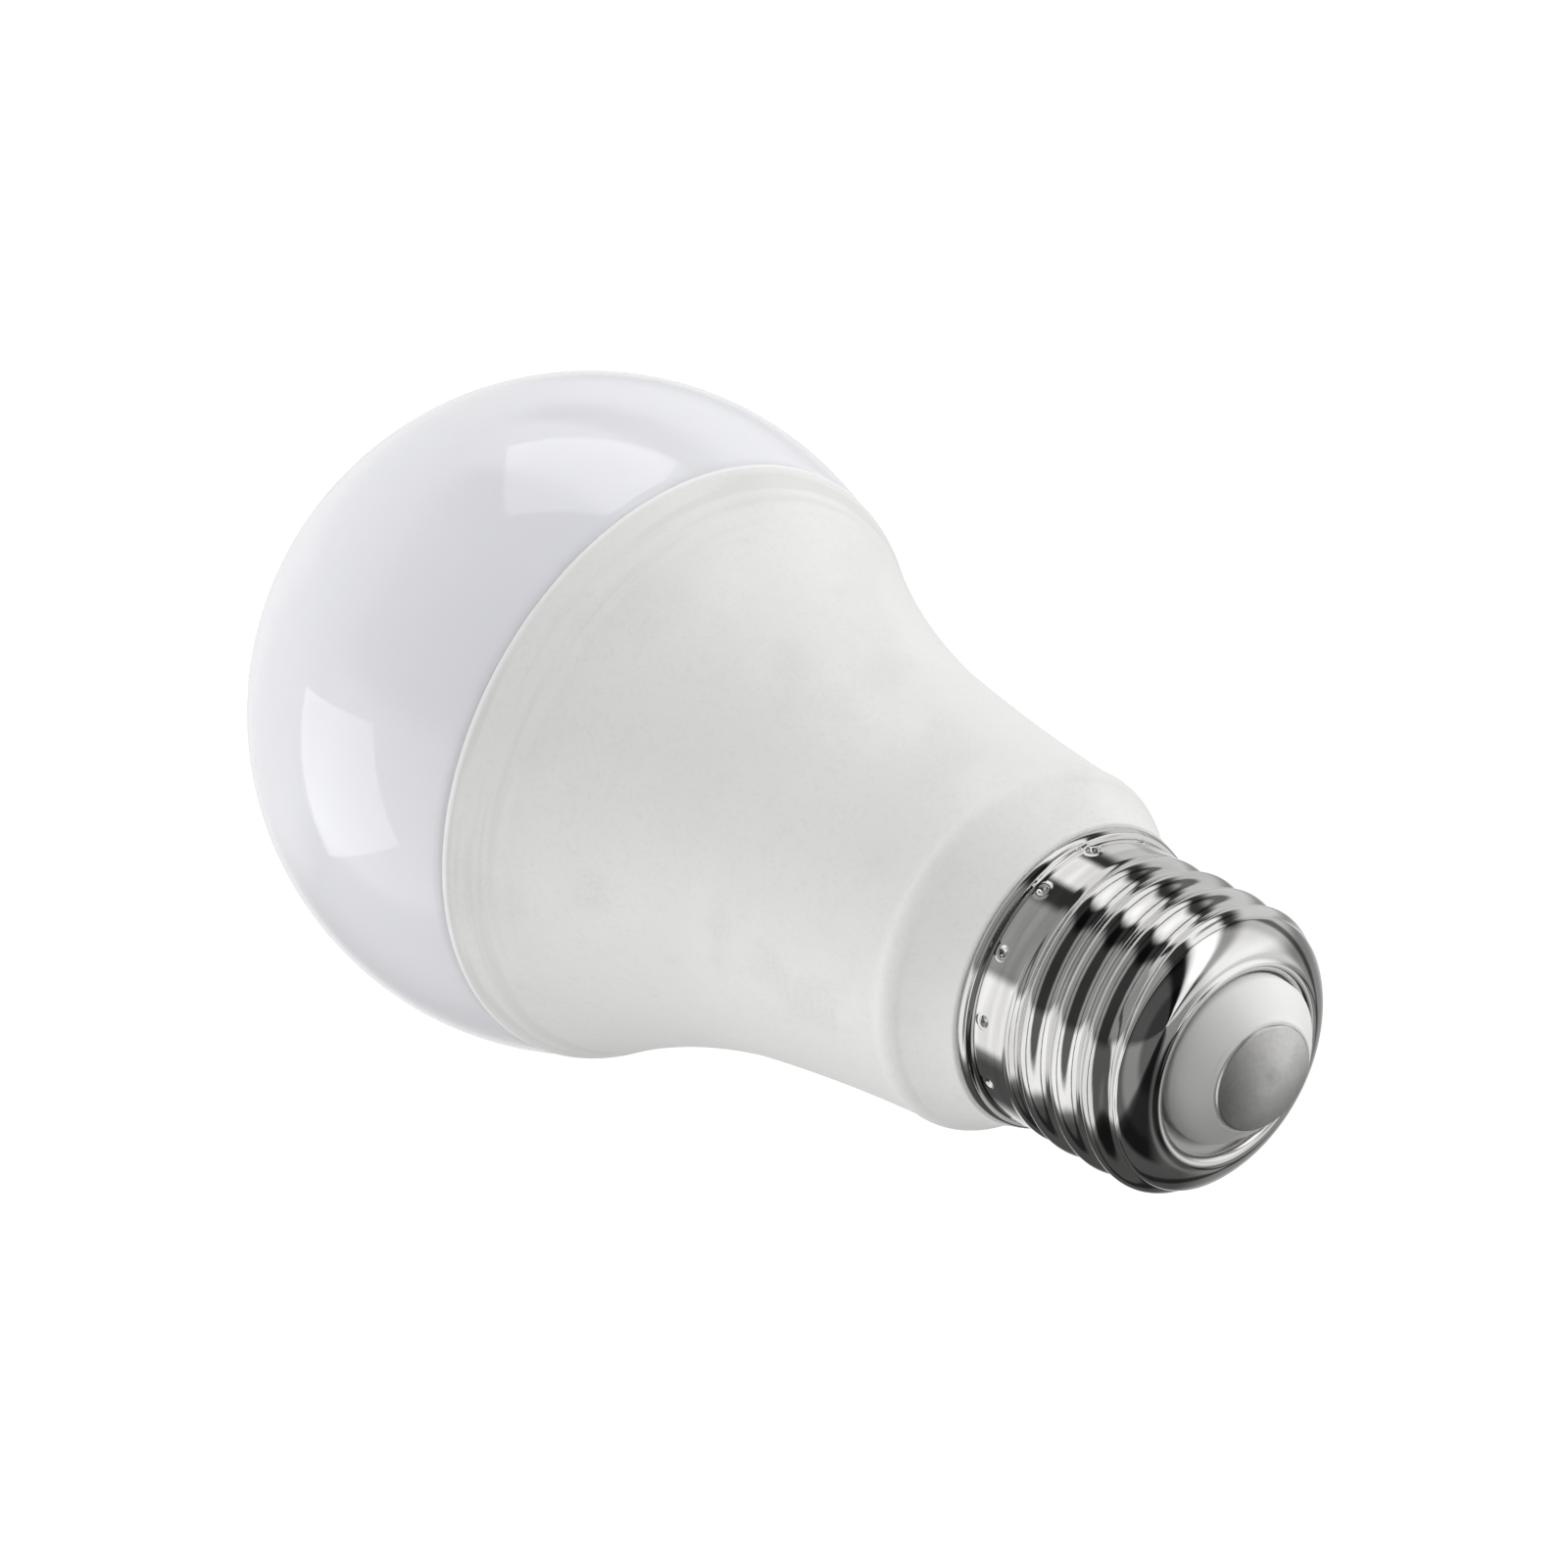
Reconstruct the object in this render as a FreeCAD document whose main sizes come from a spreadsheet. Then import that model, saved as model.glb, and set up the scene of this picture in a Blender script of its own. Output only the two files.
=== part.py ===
import FreeCAD, Part
import math
import os
import re
import Sketcher

# Smart LED lamp with a wireless module, millimetres.
# The lamp is modelled cap up. Its axis is Z, the origin is the tip of the centre contact and +Z
# points out of the cap, so the dome lies below at negative Z. A level called "..._level" in the
# sheet is a height along the axis, measured from the cap's flange, positive towards the contact.

DIMENSIONS = {
    # whole lamp
    "lamp_length": 114.2,
    "cap_length": 23.9,
    # milky dome: a sphere with a skirt that snaps into the housing
    "dome_radius": 30.0,
    "dome_wall": 1.2,
    "seam_level": -48.64,
    "skirt_radius": 25.1,
    "skirt_bottom_level": -45.7,
    "bead_level": -46.6,
    "bead_height": 0.3,
    # housing: two long arcs, a shoulder and a short flare down to the cap
    "rim_radius": 27.75,
    "cone_end_level": -27.0,
    "cone_end_radius": 18.85,
    "cone_curve": 65.4,
    "shoulder_level": -6.9,
    "shoulder_radius": 16.47,
    "barrel_curve": 186.0,
    "shoulder_curve": 2.2,
    "flare_level": -4.6,
    "flare_radius": 15.8,
    "flare_curve": 16.4,
    "flare_end_radius": 13.8,
    "housing_wall": 1.7,
    "ledge_level": -43.5,
    "ledge_radius": 22.6,
    "seat_radius": 23.6,
    "rebate_level": -45.6,
    "rebate_radius": 25.2,
    # neck of the housing, inside the cap
    "neck_radius": 11.7,
    "neck_band_radius": 12.6,
    "neck_bore": 10.2,
    "neck_end_level": 15.0,
    "neck_floor_level": -3.0,
    # Edison screw cap
    "cap_sheet": 0.3,
    "flange_radius": 13.65,
    "band_radius": 13.0,
    "band_end_level": 5.4,
    "thread_pitch": 3.629,
    "thread_root": 12.2,
    "thread_crest": 13.17,
    "thread_start_level": 6.39,
    "thread_turns": 2.4,
    "thread_half_width": 1.2,
    "thread_end_level": 16.4,
    "roll_level": 17.3,
    "roll_radius": 12.4,
    "lip_level": 19.5,
    "lip_radius": 9.3,
    "mouth_radius": 8.4,
    "dimple_level": 2.5,
    "dimple_depth": 0.9,
    "dimple_radius": 1.1,
    "dimple_count": 13,
    "dimple_turn": 218.92,
    # insulator and centre contact
    "insulator_flange_radius": 10.0,
    "insulator_flange_level": 18.3,
    "insulator_foot_level": 16.3,
    "insulator_radius": 7.8,
    "insulator_cone_level": 20.1,
    "insulator_top_radius": 5.1,
    "insulator_top_level": 22.9,
    "contact_radius": 4.9,
    "contact_rim": 0.3,
    "contact_flat_radius": 1.2,
    "nail_radius": 1.0,
    "nail_length": 8.0,
    "running_gap": 0.05,
    # heat sink cup, pad and LED board
    "cup_radius": 23.4,
    "cup_floor": 1.5,
    "cup_wall": 1.0,
    "cup_skirt_level": -30.0,
    "cup_clearance": 0.3,
    "pad_radius": 22.6,
    "pad_thickness": 0.25,
    "led_board_radius": 22.8,
    "led_board_thickness": 1.2,
    "board_window_x": 8.0,
    "board_window_y": 5.0,
    "screw_circle": 15.0,
    "screw_count": 3,
    "screw_shank": 1.2,
    "screw_head_radius": 2.3,
    "screw_head_height": 1.5,
    "screw_length": 5.0,
    "led_circle": 20.0,
    "led_pairs": 9,
    "colour_circle": 12.0,
    "colour_count": 6,
    "led_width": 2.8,
    "led_length": 3.5,
    "led_height": 0.7,
    # driver board, standing in the housing across Y
    "driver_thickness": 1.2,
    "driver_low_level": -41.5,
    "driver_step_level": -10.0,
    "driver_high_level": 10.0,
    "driver_wide": 14.0,
    "driver_narrow": 9.2,
    "rail_gap": 0.1,
    "rail_inside": 8.3,
    "notch_low": 1.0,
    "notch_high": 3.2,
    # wireless module, standing beside the driver board
    "radio_half_width": 6.0,
    "radio_gap": 3.3,
    "radio_thickness": 0.8,
    "radio_low_level": -57.0,
    "radio_high_level": -27.0,
    "slot_clearance": 0.25,
    "trace_thickness": 0.1,
    "trace_width": 0.7,
    "trace_pitch": 1.6,
    "trace_length": 4.6,
    "trace_folds": 3,
    # the two short wires
    "wire_radius": 0.6,
    "wire_bend": 2.0,
    "pin_pitch": 2.54,
}

document = FreeCAD.newDocument("smart_lamp")
sheet = document.addObject("Spreadsheet::Sheet", "dims")
for row, (alias, value) in enumerate(DIMENSIONS.items(), start=1):
    sheet.set(f"A{row}", alias)
    sheet.set(f"B{row}", str(value))
    sheet.setAlias(f"B{row}", alias)
document.recompute()

bodies = []


def cells(text):
    """Turn each word of the sheet in an expression into a reference to its cell."""
    return re.sub(r"[a-z_]+", lambda m: "dims." + m[0] if m[0] in DIMENSIONS else m[0], str(text))


def value_of(text):
    """The number that an expression of the sheet's words gives now."""
    return float(sheet.evalExpression(cells(text)))


def height(level):
    """A level above the cap's flange as a height in the lamp's own frame."""
    return f"{level} - cap_length"


def bind(item, prop, text):
    item.setExpression(prop, cells(text))


def new_body(name):
    body = document.addObject("PartDesign::Body", name)
    body.Label = name
    bodies.append(body)
    return body


def new_sketch(body, plane, offset="0"):
    """An empty sketch on one of the body's own origin planes, moved along the plane's normal."""
    sketch = body.newObject("Sketcher::SketchObject", "Outline")
    origin = [item for item in body.Origin.OriginFeatures if item.Role == plane + "_Plane"]
    sketch.AttachmentSupport = [(origin[0], "")]
    sketch.MapMode = "FlatFace"
    bind(sketch, "AttachmentOffset.Base.z", offset)
    return sketch


def hold_vertex(sketch, geometry, vertex, corner):
    """Tie a vertex to the sheet, along both axes of its sketch."""
    for kind, text in zip(("DistanceX", "DistanceY"), corner):
        number = sketch.addConstraint(
            Sketcher.Constraint(kind, -1, 1, geometry, vertex, value_of(text)))
        bind(sketch, f"Constraints[{number}]", text)


def edge_between(start, end, bow):
    """A line, or an arc of radius bow that bulges left of the way from start to end if bow > 0."""
    if not bow:
        return Part.LineSegment(start, end)
    chord = end - start
    half = chord.Length / 2
    rise = math.copysign(abs(bow) - math.sqrt(bow * bow - half * half), bow)
    left = FreeCAD.Vector(-chord.y, chord.x, 0).normalize()
    return Part.Arc(start, (start + end) / 2 + left * rise, end)


def add_path(sketch, corners, closed=True):
    """Draw edges through the corners. A corner is (x, y) or (x, y, bow) in the sheet's words;
    with a bow, the edge that leaves it is an arc."""
    points = [FreeCAD.Vector(value_of(c[0]), value_of(c[1]), 0) for c in corners]
    count = len(corners) if closed else len(corners) - 1
    ends = []
    for i in range(count):
        start, end = points[i], points[(i + 1) % len(points)]
        bow = corners[i][2] if len(corners[i]) > 2 else "0"
        edge = sketch.addGeometry(edge_between(start, end, value_of(bow)), False)
        flipped = (sketch.getPoint(edge, 1) - start).Length > 1e-6
        ends.append((edge, 2, 1) if flipped else (edge, 1, 2))
        if value_of(bow):
            number = sketch.addConstraint(Sketcher.Constraint("Radius", edge, abs(value_of(bow))))
            bind(sketch, f"Constraints[{number}]", f"abs({bow})")
    for i, (edge, first, last) in enumerate(ends):
        hold_vertex(sketch, edge, first, corners[i][:2])
        if closed or i + 1 < count:
            following = ends[(i + 1) % count]
            sketch.addConstraint(
                Sketcher.Constraint("Coincident", edge, last, following[0], following[1]))
        else:
            hold_vertex(sketch, edge, last, corners[i + 1][:2])
    return sketch


def add_circle(sketch, x, y, radius):
    centre = FreeCAD.Vector(value_of(x), value_of(y), 0)
    circle = sketch.addGeometry(
        Part.Circle(centre, FreeCAD.Vector(0, 0, 1), value_of(radius)), False)
    hold_vertex(sketch, circle, 3, (x, y))
    number = sketch.addConstraint(Sketcher.Constraint("Radius", circle, value_of(radius)))
    bind(sketch, f"Constraints[{number}]", radius)
    return sketch


def rectangle(left, low, right, high):
    return [(left, low), (right, low), (right, high), (left, high)]


def feature(body, kind, sketch, **settings):
    """Add a PartDesign feature made from a sketch; text settings are bound to the sheet."""
    item = body.newObject("PartDesign::" + kind, kind)
    if "Helix" in kind or kind in ("Revolution", "Groove"):
        item.Profile = sketch
        item.ReferenceAxis = (sketch, [settings.pop("about", "V_Axis")])
    else:
        item.Profile = sketch
    for prop, setting in settings.items():
        if isinstance(setting, str):
            bind(item, prop, setting)
        else:
            setattr(item, prop, setting)
    document.recompute()
    return item


def turned(body, corners, kind="Revolution", about="V_Axis", shift="0", spin="0"):
    """Turn an (r, z) outline about the lamp's axis, or about the outline's own X at the height
    given as shift, with the outline first turned by spin degrees about the lamp's axis."""
    sketch = new_sketch(body, "XZ")
    sketch.AttachmentOffset = FreeCAD.Placement(
        FreeCAD.Vector(), FreeCAD.Rotation(FreeCAD.Vector(0, 1, 0), 1.0))
    bind(sketch, "AttachmentOffset.Rotation.Angle", spin)
    bind(sketch, "AttachmentOffset.Base.y", shift)
    add_path(sketch, corners)
    return feature(body, kind, sketch, about=about, Angle=360.0)


def plate(body, corners, bottom, thickness, plane="XY", kind="Pad"):
    """Extrude an outline along the plane's normal, from bottom; the normal of XZ is -Y."""
    sketch = add_path(new_sketch(body, plane, bottom), corners)
    return feature(body, kind, sketch, Length=thickness)


def disc(body, x, y, radius, bottom, thickness, plane="XY", kind="Pad"):
    """Extrude a circle along the plane's normal, from bottom."""
    sketch = add_circle(new_sketch(body, plane, bottom), x, y, radius)
    return feature(body, kind, sketch, Length=thickness)


def cut_before(body, item, before):
    """Stop if a cut removed nothing."""
    if not item.Shape.Volume < before - 1e-6:
        raise RuntimeError(f"{body.Label}: {item.Name} cuts nothing")


def cut(body, sketch, depth):
    """Cut a sketch into the body, along its normal's way in for a depth on both sides."""
    before = body.Shape.Volume
    item = feature(body, "Pocket", sketch, Length=depth, Midplane=True)
    cut_before(body, item, before)
    return item


def round_pattern(body, items, sketch, count):
    """Repeat features about the lamp's axis, which is the sketch's normal on the XY plane."""
    ring = body.newObject("PartDesign::PolarPattern", "Ring")
    ring.Originals = items
    axis = "V_Axis" if sketch.AttachmentSupport[0][0].Role == "XZ_Plane" else "N_Axis"
    ring.Axis = (sketch, [axis])
    ring.Angle = 360
    bind(ring, "Occurrences", count)
    body.Tip = ring
    document.recompute()
    return ring


def row_pattern(body, item, axis, length, count):
    """Repeat a feature in a row along one axis of its own sketch."""
    line = body.newObject("PartDesign::LinearPattern", "Row")
    line.Originals = [item]
    line.Direction = (item.Profile[0], [axis])
    bind(line, "Length", length)
    bind(line, "Occurrences", count)
    body.Tip = line
    document.recompute()
    return line


def soften(body, item, radius, edges=None):
    """Round edges of a feature, all of them unless some are named."""
    names = edges or [f"Edge{i + 1}" for i in range(len(item.Shape.Edges))]
    fillet = body.newObject("PartDesign::Fillet", "Round")
    fillet.Base = (item, names)
    fillet.Radius = radius
    document.recompute()
    return fillet


# --- The lamp's outside -------------------------------------------------------------------------

def diffuser_dome():
    body = new_body("diffuser_dome")
    centre = "dome_radius - lamp_length"
    seam = height("seam_level")
    shelf = f"{seam} - dome_wall"
    inner = "(dome_radius - dome_wall)"
    shelf_radius = f"sqrt({inner}^2 - ({shelf} - ({centre}))^2)"
    seam_radius = f"sqrt(dome_radius^2 - ({seam} - ({centre}))^2)"
    bead = height("bead_level")
    turned(body, [
        (seam_radius, seam, "dome_radius"),
        ("dome_radius", centre, "dome_radius"),
        ("0", "-lamp_length"),
        ("0", "dome_wall - lamp_length", f"-{inner}"),
        (inner, centre, f"-{inner}"),
        (shelf_radius, shelf),
        ("skirt_radius - dome_wall", shelf),
        ("skirt_radius - dome_wall", height("skirt_bottom_level")),
        ("skirt_radius", height("skirt_bottom_level")),
        ("skirt_radius", f"{bead} + bead_height"),
        ("skirt_radius + bead_height", bead),
        ("skirt_radius", f"{bead} - bead_height"),
        ("skirt_radius", seam),
    ])


def dome_adhesive_ring():
    body = new_body("dome_adhesive_ring")
    inner = "led_board_radius + 0.1"
    outer = "skirt_radius - dome_wall - 0.1"
    low = height("rebate_level - 1")
    high = height("rebate_level - 0.05")
    turned(body, [(inner, f"{low} + 0.4"), (f"{inner} + 0.3", low), (outer, low),
                  (outer, high), (inner, high)])


def outer_housing():
    body = new_body("outer_housing")
    rim = height("seam_level")
    cone = height("cone_end_level")
    shoulder = height("shoulder_level")
    ledge = height("ledge_level")
    rebate = height("rebate_level")
    bead = height("bead_level")
    flange = height("0")
    turned(body, [
        ("rim_radius", rim, "cone_curve"),
        ("cone_end_radius", cone, "barrel_curve"),
        ("shoulder_radius", shoulder, "-shoulder_curve"),
        ("flare_radius", height("flare_level"), "flare_curve"),
        ("flare_end_radius", flange),
        ("neck_band_radius", flange),
        ("neck_band_radius", height("band_end_level - 1")),
        ("neck_radius", height("band_end_level - 0.3")),
        ("neck_radius", height("neck_end_level")),
        ("neck_bore", height("neck_end_level")),
        ("neck_bore", height("neck_floor_level")),
        ("shoulder_radius - housing_wall", f"{shoulder} - 1", "-barrel_curve"),
        ("cone_end_radius - housing_wall", cone, "-cone_curve"),
        ("ledge_radius", ledge),
        ("seat_radius", ledge),
        ("seat_radius", rebate),
        ("rebate_radius", rebate),
        ("rebate_radius", f"{bead} + bead_height + 0.1"),
        ("rebate_radius + bead_height", bead),
        ("rebate_radius", f"{bead} - bead_height - 0.1"),
        ("rebate_radius", rim),
    ])
    pocket = turned(body, [
        ("neck_band_radius + 0.5", "0"),
        ("neck_band_radius + 0.5", "dimple_radius + 0.3"),
        ("band_radius - dimple_depth - cap_sheet - 0.1", "dimple_radius + 0.3"),
        ("band_radius - dimple_depth - cap_sheet - 0.1", "0"),
    ], "Groove", "H_Axis", height("dimple_level"), "dimple_turn")
    round_pattern(body, [pocket], pocket.Profile[0], "dimple_count")
    for side in (1, -1):
        for face in (1, -1):
            guide_rail(body, side, face)
    notch = add_path(new_sketch(body, "YZ", "neck_radius"), rectangle(
        "notch_low", height("neck_end_level - 2"), "notch_high", height("neck_end_level + 1")))
    cut(body, notch, "6")


def guide_rail(body, side, face):
    """One of the four ribs in the neck that the driver board slides between."""
    near = "driver_thickness / 2 + rail_gap"
    low = near if face > 0 else f"-({near} + 1)"
    high = f"{near} + 1" if face > 0 else f"-({near})"
    inner, outer = "rail_inside", "neck_bore + 0.2"
    left = inner if side > 0 else f"-({outer})"
    right = outer if side > 0 else f"-{inner}"
    plate(body, rectangle(left, low, right, high), height("2"), "9")


def screw_shell():
    """Rolled sheet: the thread stands out outside and is hollow inside, as the punched dimples are
    dents outside and bumps inside."""
    body = new_body("screw_shell")
    turned(body, [
        ("flange_radius", height("0")),
        ("band_radius", height("1.2")),
        ("band_radius", height("band_end_level")),
        ("thread_root", height("band_end_level + 0.8")),
        ("thread_root", height("thread_end_level")),
        ("roll_radius", height("roll_level"), "-6"),
        ("lip_radius", height("lip_level")),
        ("mouth_radius", height("lip_level - 0.25")),
        ("mouth_radius", height("lip_level - 0.6")),
        ("lip_radius - 0.05", height("lip_level - 0.35"), "6"),
        ("roll_radius - cap_sheet - 0.05", height("roll_level - 0.15")),
        ("thread_root - cap_sheet", height("thread_end_level")),
        ("thread_root - cap_sheet", height("band_end_level + 0.6")),
        ("band_radius - cap_sheet", height("band_end_level - 0.2")),
        ("band_radius - cap_sheet", height("1.1")),
        ("flange_radius - cap_sheet", height("0")),
    ])
    bump = turned(body, [
        ("band_radius - cap_sheet / 2", "0"),
        ("band_radius - cap_sheet / 2", "dimple_radius + 0.1"),
        ("band_radius - cap_sheet - 0.1", "dimple_radius + 0.1"),
        ("band_radius - dimple_depth - cap_sheet", "0.45"),
        ("band_radius - dimple_depth - cap_sheet", "0"),
    ], "Revolution", "H_Axis", height("dimple_level"))
    dent = turned(body, [
        ("band_radius + 0.5", "0"),
        ("band_radius + 0.5", "dimple_radius * 1.4"),
        ("band_radius - dimple_depth", "0.25"),
        ("band_radius - dimple_depth", "0"),
    ], "Groove", "H_Axis", height("dimple_level"))
    round_pattern(body, [bump, dent], dent.Profile[0], "dimple_count")
    roll_thread(body, "AdditiveHelix", "0")
    roll_thread(body, "SubtractiveHelix", "cap_sheet")
    body.Placement.Rotation = FreeCAD.Rotation(FreeCAD.Vector(0, 0, 1), value_of("dimple_turn"))


def roll_thread(body, kind, inset):
    """Sweep the thread's crest, or the hollow behind it, along its right-hand helix."""
    half = f"(thread_half_width - {inset} * 0.6)"
    foot = f"thread_root - 0.15 - {inset} * 0.6"
    rise = f"(thread_crest - {inset} - ({foot}))"
    bow = f"({half}^2 + {rise}^2) / (2 * {rise})"
    middle = height("thread_start_level")
    sketch = new_sketch(body, "XZ")
    add_path(sketch, [(foot, f"{middle} + {half}", bow), (foot, f"{middle} - {half}")])
    feature(body, kind, sketch, Mode=0, Pitch="thread_pitch", Angle=0.0,
            Height="thread_pitch * thread_turns", LeftHanded=False)


def base_insulator():
    body = new_body("base_insulator")
    turned(body, [
        ("nail_radius + running_gap", height("insulator_foot_level")),
        ("insulator_flange_radius", height("insulator_foot_level")),
        ("insulator_flange_radius", height("insulator_flange_level")),
        ("insulator_radius", height("insulator_flange_level")),
        ("insulator_radius", height("insulator_cone_level"), "-14"),
        ("insulator_top_radius", height("insulator_top_level")),
        ("nail_radius + running_gap", height("insulator_top_level")),
    ])


def centre_contact():
    """A nail: a thin domed disc with a small flat, and a shank that runs through the insulator."""
    body = new_body("centre_contact")
    under = height("insulator_top_level")
    turned(body, [
        ("0", "0"),
        ("contact_flat_radius", "0", "18"),
        ("contact_radius", f"{under} + contact_rim"),
        ("contact_radius", under),
        ("nail_radius", under),
        ("nail_radius", f"{under} - nail_length"),
        ("0", f"{under} - nail_length"),
    ])


# --- Light engine -------------------------------------------------------------------------------

def board_openings(body, level, depth, screw_hole):
    """Cut the window for the header and the wireless module, and the screw holes."""
    sketch = new_sketch(body, "XY", height(level))
    add_path(sketch, rectangle("-board_window_x", "-board_window_y",
                               "board_window_x", "board_window_y"))
    cut(body, sketch, depth)
    drill_screw_holes(body, level, depth, screw_hole)


def drill_screw_holes(body, level, depth, radius):
    sketch = new_sketch(body, "XY", height(level))
    add_circle(sketch, "0", "screw_circle", radius)
    hole = cut(body, sketch, depth)
    round_pattern(body, [hole], sketch, "screw_count")


def heat_sink_cup():
    body = new_body("heat_sink_cup")
    floor = height("ledge_level - cup_floor")
    top_radius = "ledge_radius - cup_clearance"
    skirt = height("cup_skirt_level")
    # the housing's wall is an arc; the skirt repeats it with the clearance taken off
    end_radius = "cone_end_radius - housing_wall - cup_clearance + 0.65"
    turned(body, [
        ("0", floor),
        ("cup_radius", floor),
        ("cup_radius", height("ledge_level")),
        (top_radius, height("ledge_level"), "cone_curve"),
        (end_radius, skirt),
        (f"{end_radius} - cup_wall", skirt, "-cone_curve"),
        (f"{top_radius} - cup_wall", f"{floor} + cup_floor"),
        ("0", f"{floor} + cup_floor"),
    ])
    board_openings(body, "ledge_level", "8", "screw_shank + running_gap")


def thermal_pad():
    body = new_body("thermal_pad")
    bottom = "ledge_level - cup_floor - pad_thickness"
    disc(body, "0", "0", "pad_radius", height(bottom), "pad_thickness")
    board_openings(body, bottom, "2", "screw_shank + 0.3")


def led_board():
    body = new_body("led_board")
    bottom = "ledge_level - cup_floor - pad_thickness - led_board_thickness"
    disc(body, "0", "0", "led_board_radius", height(bottom), "led_board_thickness")
    drill_screw_holes(body, bottom, "6", "screw_shank + 0.2")
    slot = new_sketch(body, "XY", height(bottom))
    add_path(slot, rectangle(
        "-(radio_half_width + slot_clearance)", "radio_gap - slot_clearance",
        "radio_half_width + slot_clearance", "radio_gap + radio_thickness + slot_clearance"))
    cut(body, slot, "6")
    pins = new_sketch(body, "XY", height(bottom))
    for x in ("-pin_pitch", "0", "pin_pitch"):
        add_circle(pins, x, "-1.9", "0.55")
    cut(body, pins, "6")


def led_ring(name, circle, first_angle, count, height_factor=1.0):
    """A ring of LED packages, each a soft-edged block that faces the dome."""
    body = new_body(name)
    face = "ledge_level - cup_floor - pad_thickness - led_board_thickness"
    tall = f"led_height * {height_factor}"
    sketch = new_sketch(body, "XY", height(f"{face} - {tall}"))
    add_path(sketch, rectangle(f"{circle} - led_length / 2", "-led_width / 2",
                               f"{circle} + led_length / 2", "led_width / 2"))
    block = feature(body, "Pad", sketch, Length=tall)
    ring = round_pattern(body, [block], sketch, count)
    soften(body, ring, 0.15)
    body.Placement = FreeCAD.Placement(
        FreeCAD.Vector(), FreeCAD.Rotation(FreeCAD.Vector(0, 0, 1), first_angle))


def led_board_screws():
    body = new_body("led_board_screws")
    under = "ledge_level - cup_floor - pad_thickness - led_board_thickness"
    top = f"{under} - screw_head_height"
    head = add_circle(new_sketch(body, "XY", height(top)), "0", "screw_circle",
                      "screw_head_radius")
    head_pad = feature(body, "Pad", head, Length="screw_head_height")
    shank = add_circle(new_sketch(body, "XY", height(under)), "0", "screw_circle", "screw_shank")
    shank_pad = feature(body, "Pad", shank, Length="screw_length")
    slots = new_sketch(body, "XY", height(top))
    add_path(slots, rectangle("-1.2", "screw_circle - 0.25", "1.2", "screw_circle + 0.25"))
    recess = cut(body, slots, "1.2")
    round_pattern(body, [head_pad, shank_pad, recess], head, "screw_count")


# --- Electronics --------------------------------------------------------------------------------

BOARD_FACE = "driver_thickness / 2"


def driver_board():
    body = new_body("driver_board")
    low = height("driver_low_level")
    step = height("driver_step_level")
    high = height("driver_high_level")
    plate(body, [
        ("-driver_wide", low),
        ("driver_wide", low),
        ("driver_wide", step),
        ("driver_narrow", f"{step} + 2"),
        ("driver_narrow", high),
        ("-driver_narrow", high),
        ("-driver_narrow", f"{step} + 2"),
        ("-driver_wide", step),
    ], f"-({BOARD_FACE})", "driver_thickness", "XZ")


def can_capacitor(name, x, low, length, radius):
    """A round capacitor that lies along the lamp's axis on the front of the driver board, with
    its crimp groove and its two legs bent into the board."""
    body = new_body(name)
    gap = f"{BOARD_FACE} + 0.1"
    bottom = height(low)
    disc(body, x, f"-({gap} + {radius})", radius, bottom, length)
    crimp = add_path(new_sketch(body, "XY", f"{bottom} + 1.6"),
                     rectangle(f"{x} - 6", f"-({gap} + {radius}) - 6",
                               f"{x} + 6", f"-({gap} + {radius}) + 6"))
    add_circle(crimp, x, f"-({gap} + {radius})", f"{radius} - 0.3")
    cut(body, crimp, "0.6")
    for side in (-1, 1):
        leg = f"{x} + {side} * {radius} / 2"
        plate(body, rectangle(f"{leg} - 0.3", f"-({gap} + {radius})", f"{leg} + 0.3",
                              f"-({BOARD_FACE})"), f"{bottom} - 0.9", "1.0")


def block_on_board(name, x, low, wide, tall, thick, face, soft=0.4):
    """A block lying on the driver board; face 1 is the front (-Y) and -1 the back (+Y)."""
    body = new_body(name)
    gap = 0.15
    start = f"{BOARD_FACE} + {gap}" if face > 0 else f"-({BOARD_FACE} + {gap} + {thick})"
    block = plate(body, rectangle(f"{x} - {wide / 2}", height(low), f"{x} + {wide / 2}",
                                  height(f"{low} + {tall}")), start, str(thick), "XZ")
    soften(body, block, soft)
    return body


def add_legs(body, x, low, span, width, pitch, count, face):
    """Flat legs under a block, from one side of it to the other, down on the board."""
    start = BOARD_FACE if face > 0 else f"-({BOARD_FACE} + 0.8)"
    leg = plate(body, rectangle(f"{x} - {span / 2}", height(low), f"{x} + {span / 2}",
                                height(f"{low} + {width}")), start, "0.8", "XZ")
    row_pattern(body, leg, "V_Axis", pitch * (count - 1), count)


def drum_inductor():
    """A ferrite drum with its axis across the board, and the wire wound on it."""
    x, level, radius, base = "-10.2", "-33.5", "3.8", f"{BOARD_FACE} + 0.1"
    core = new_body("inductor_core")
    sections = (("0", "1.0", radius), ("0.9", "5.0", "1.9"), ("5.8", "1.0", radius))
    for offset, length, size in sections:
        disc(core, x, height(level), size, f"-({base} + {offset} + {length})", length, "XZ")
    winding = new_body("inductor_winding")
    turns = new_sketch(winding, "XZ", f"-({base} + 5.7)")
    add_circle(turns, x, height(level), "3.4")
    add_circle(turns, x, height(level), "1.95")
    feature(winding, "Pad", turns, Length="4.6")


def fuse_resistor():
    body = new_body("fuse_resistor")
    x, y = "-7.0", f"-({BOARD_FACE} + 1.7)"
    low, length = "-26", "8"
    disc(body, x, y, "1.5", height(low), length)
    soft = body.Tip
    soften(body, soft, 0.5)
    disc(body, x, y, "0.35", height(f"{low} - 1.5"), f"{length} + 3")
    for level in (f"{low} - 1.5", f"{low} + {length} + 0.8"):
        plate(body, rectangle(f"{x} - 0.35", y, f"{x} + 0.35", f"-({BOARD_FACE})"),
              height(level), "0.7")


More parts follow.
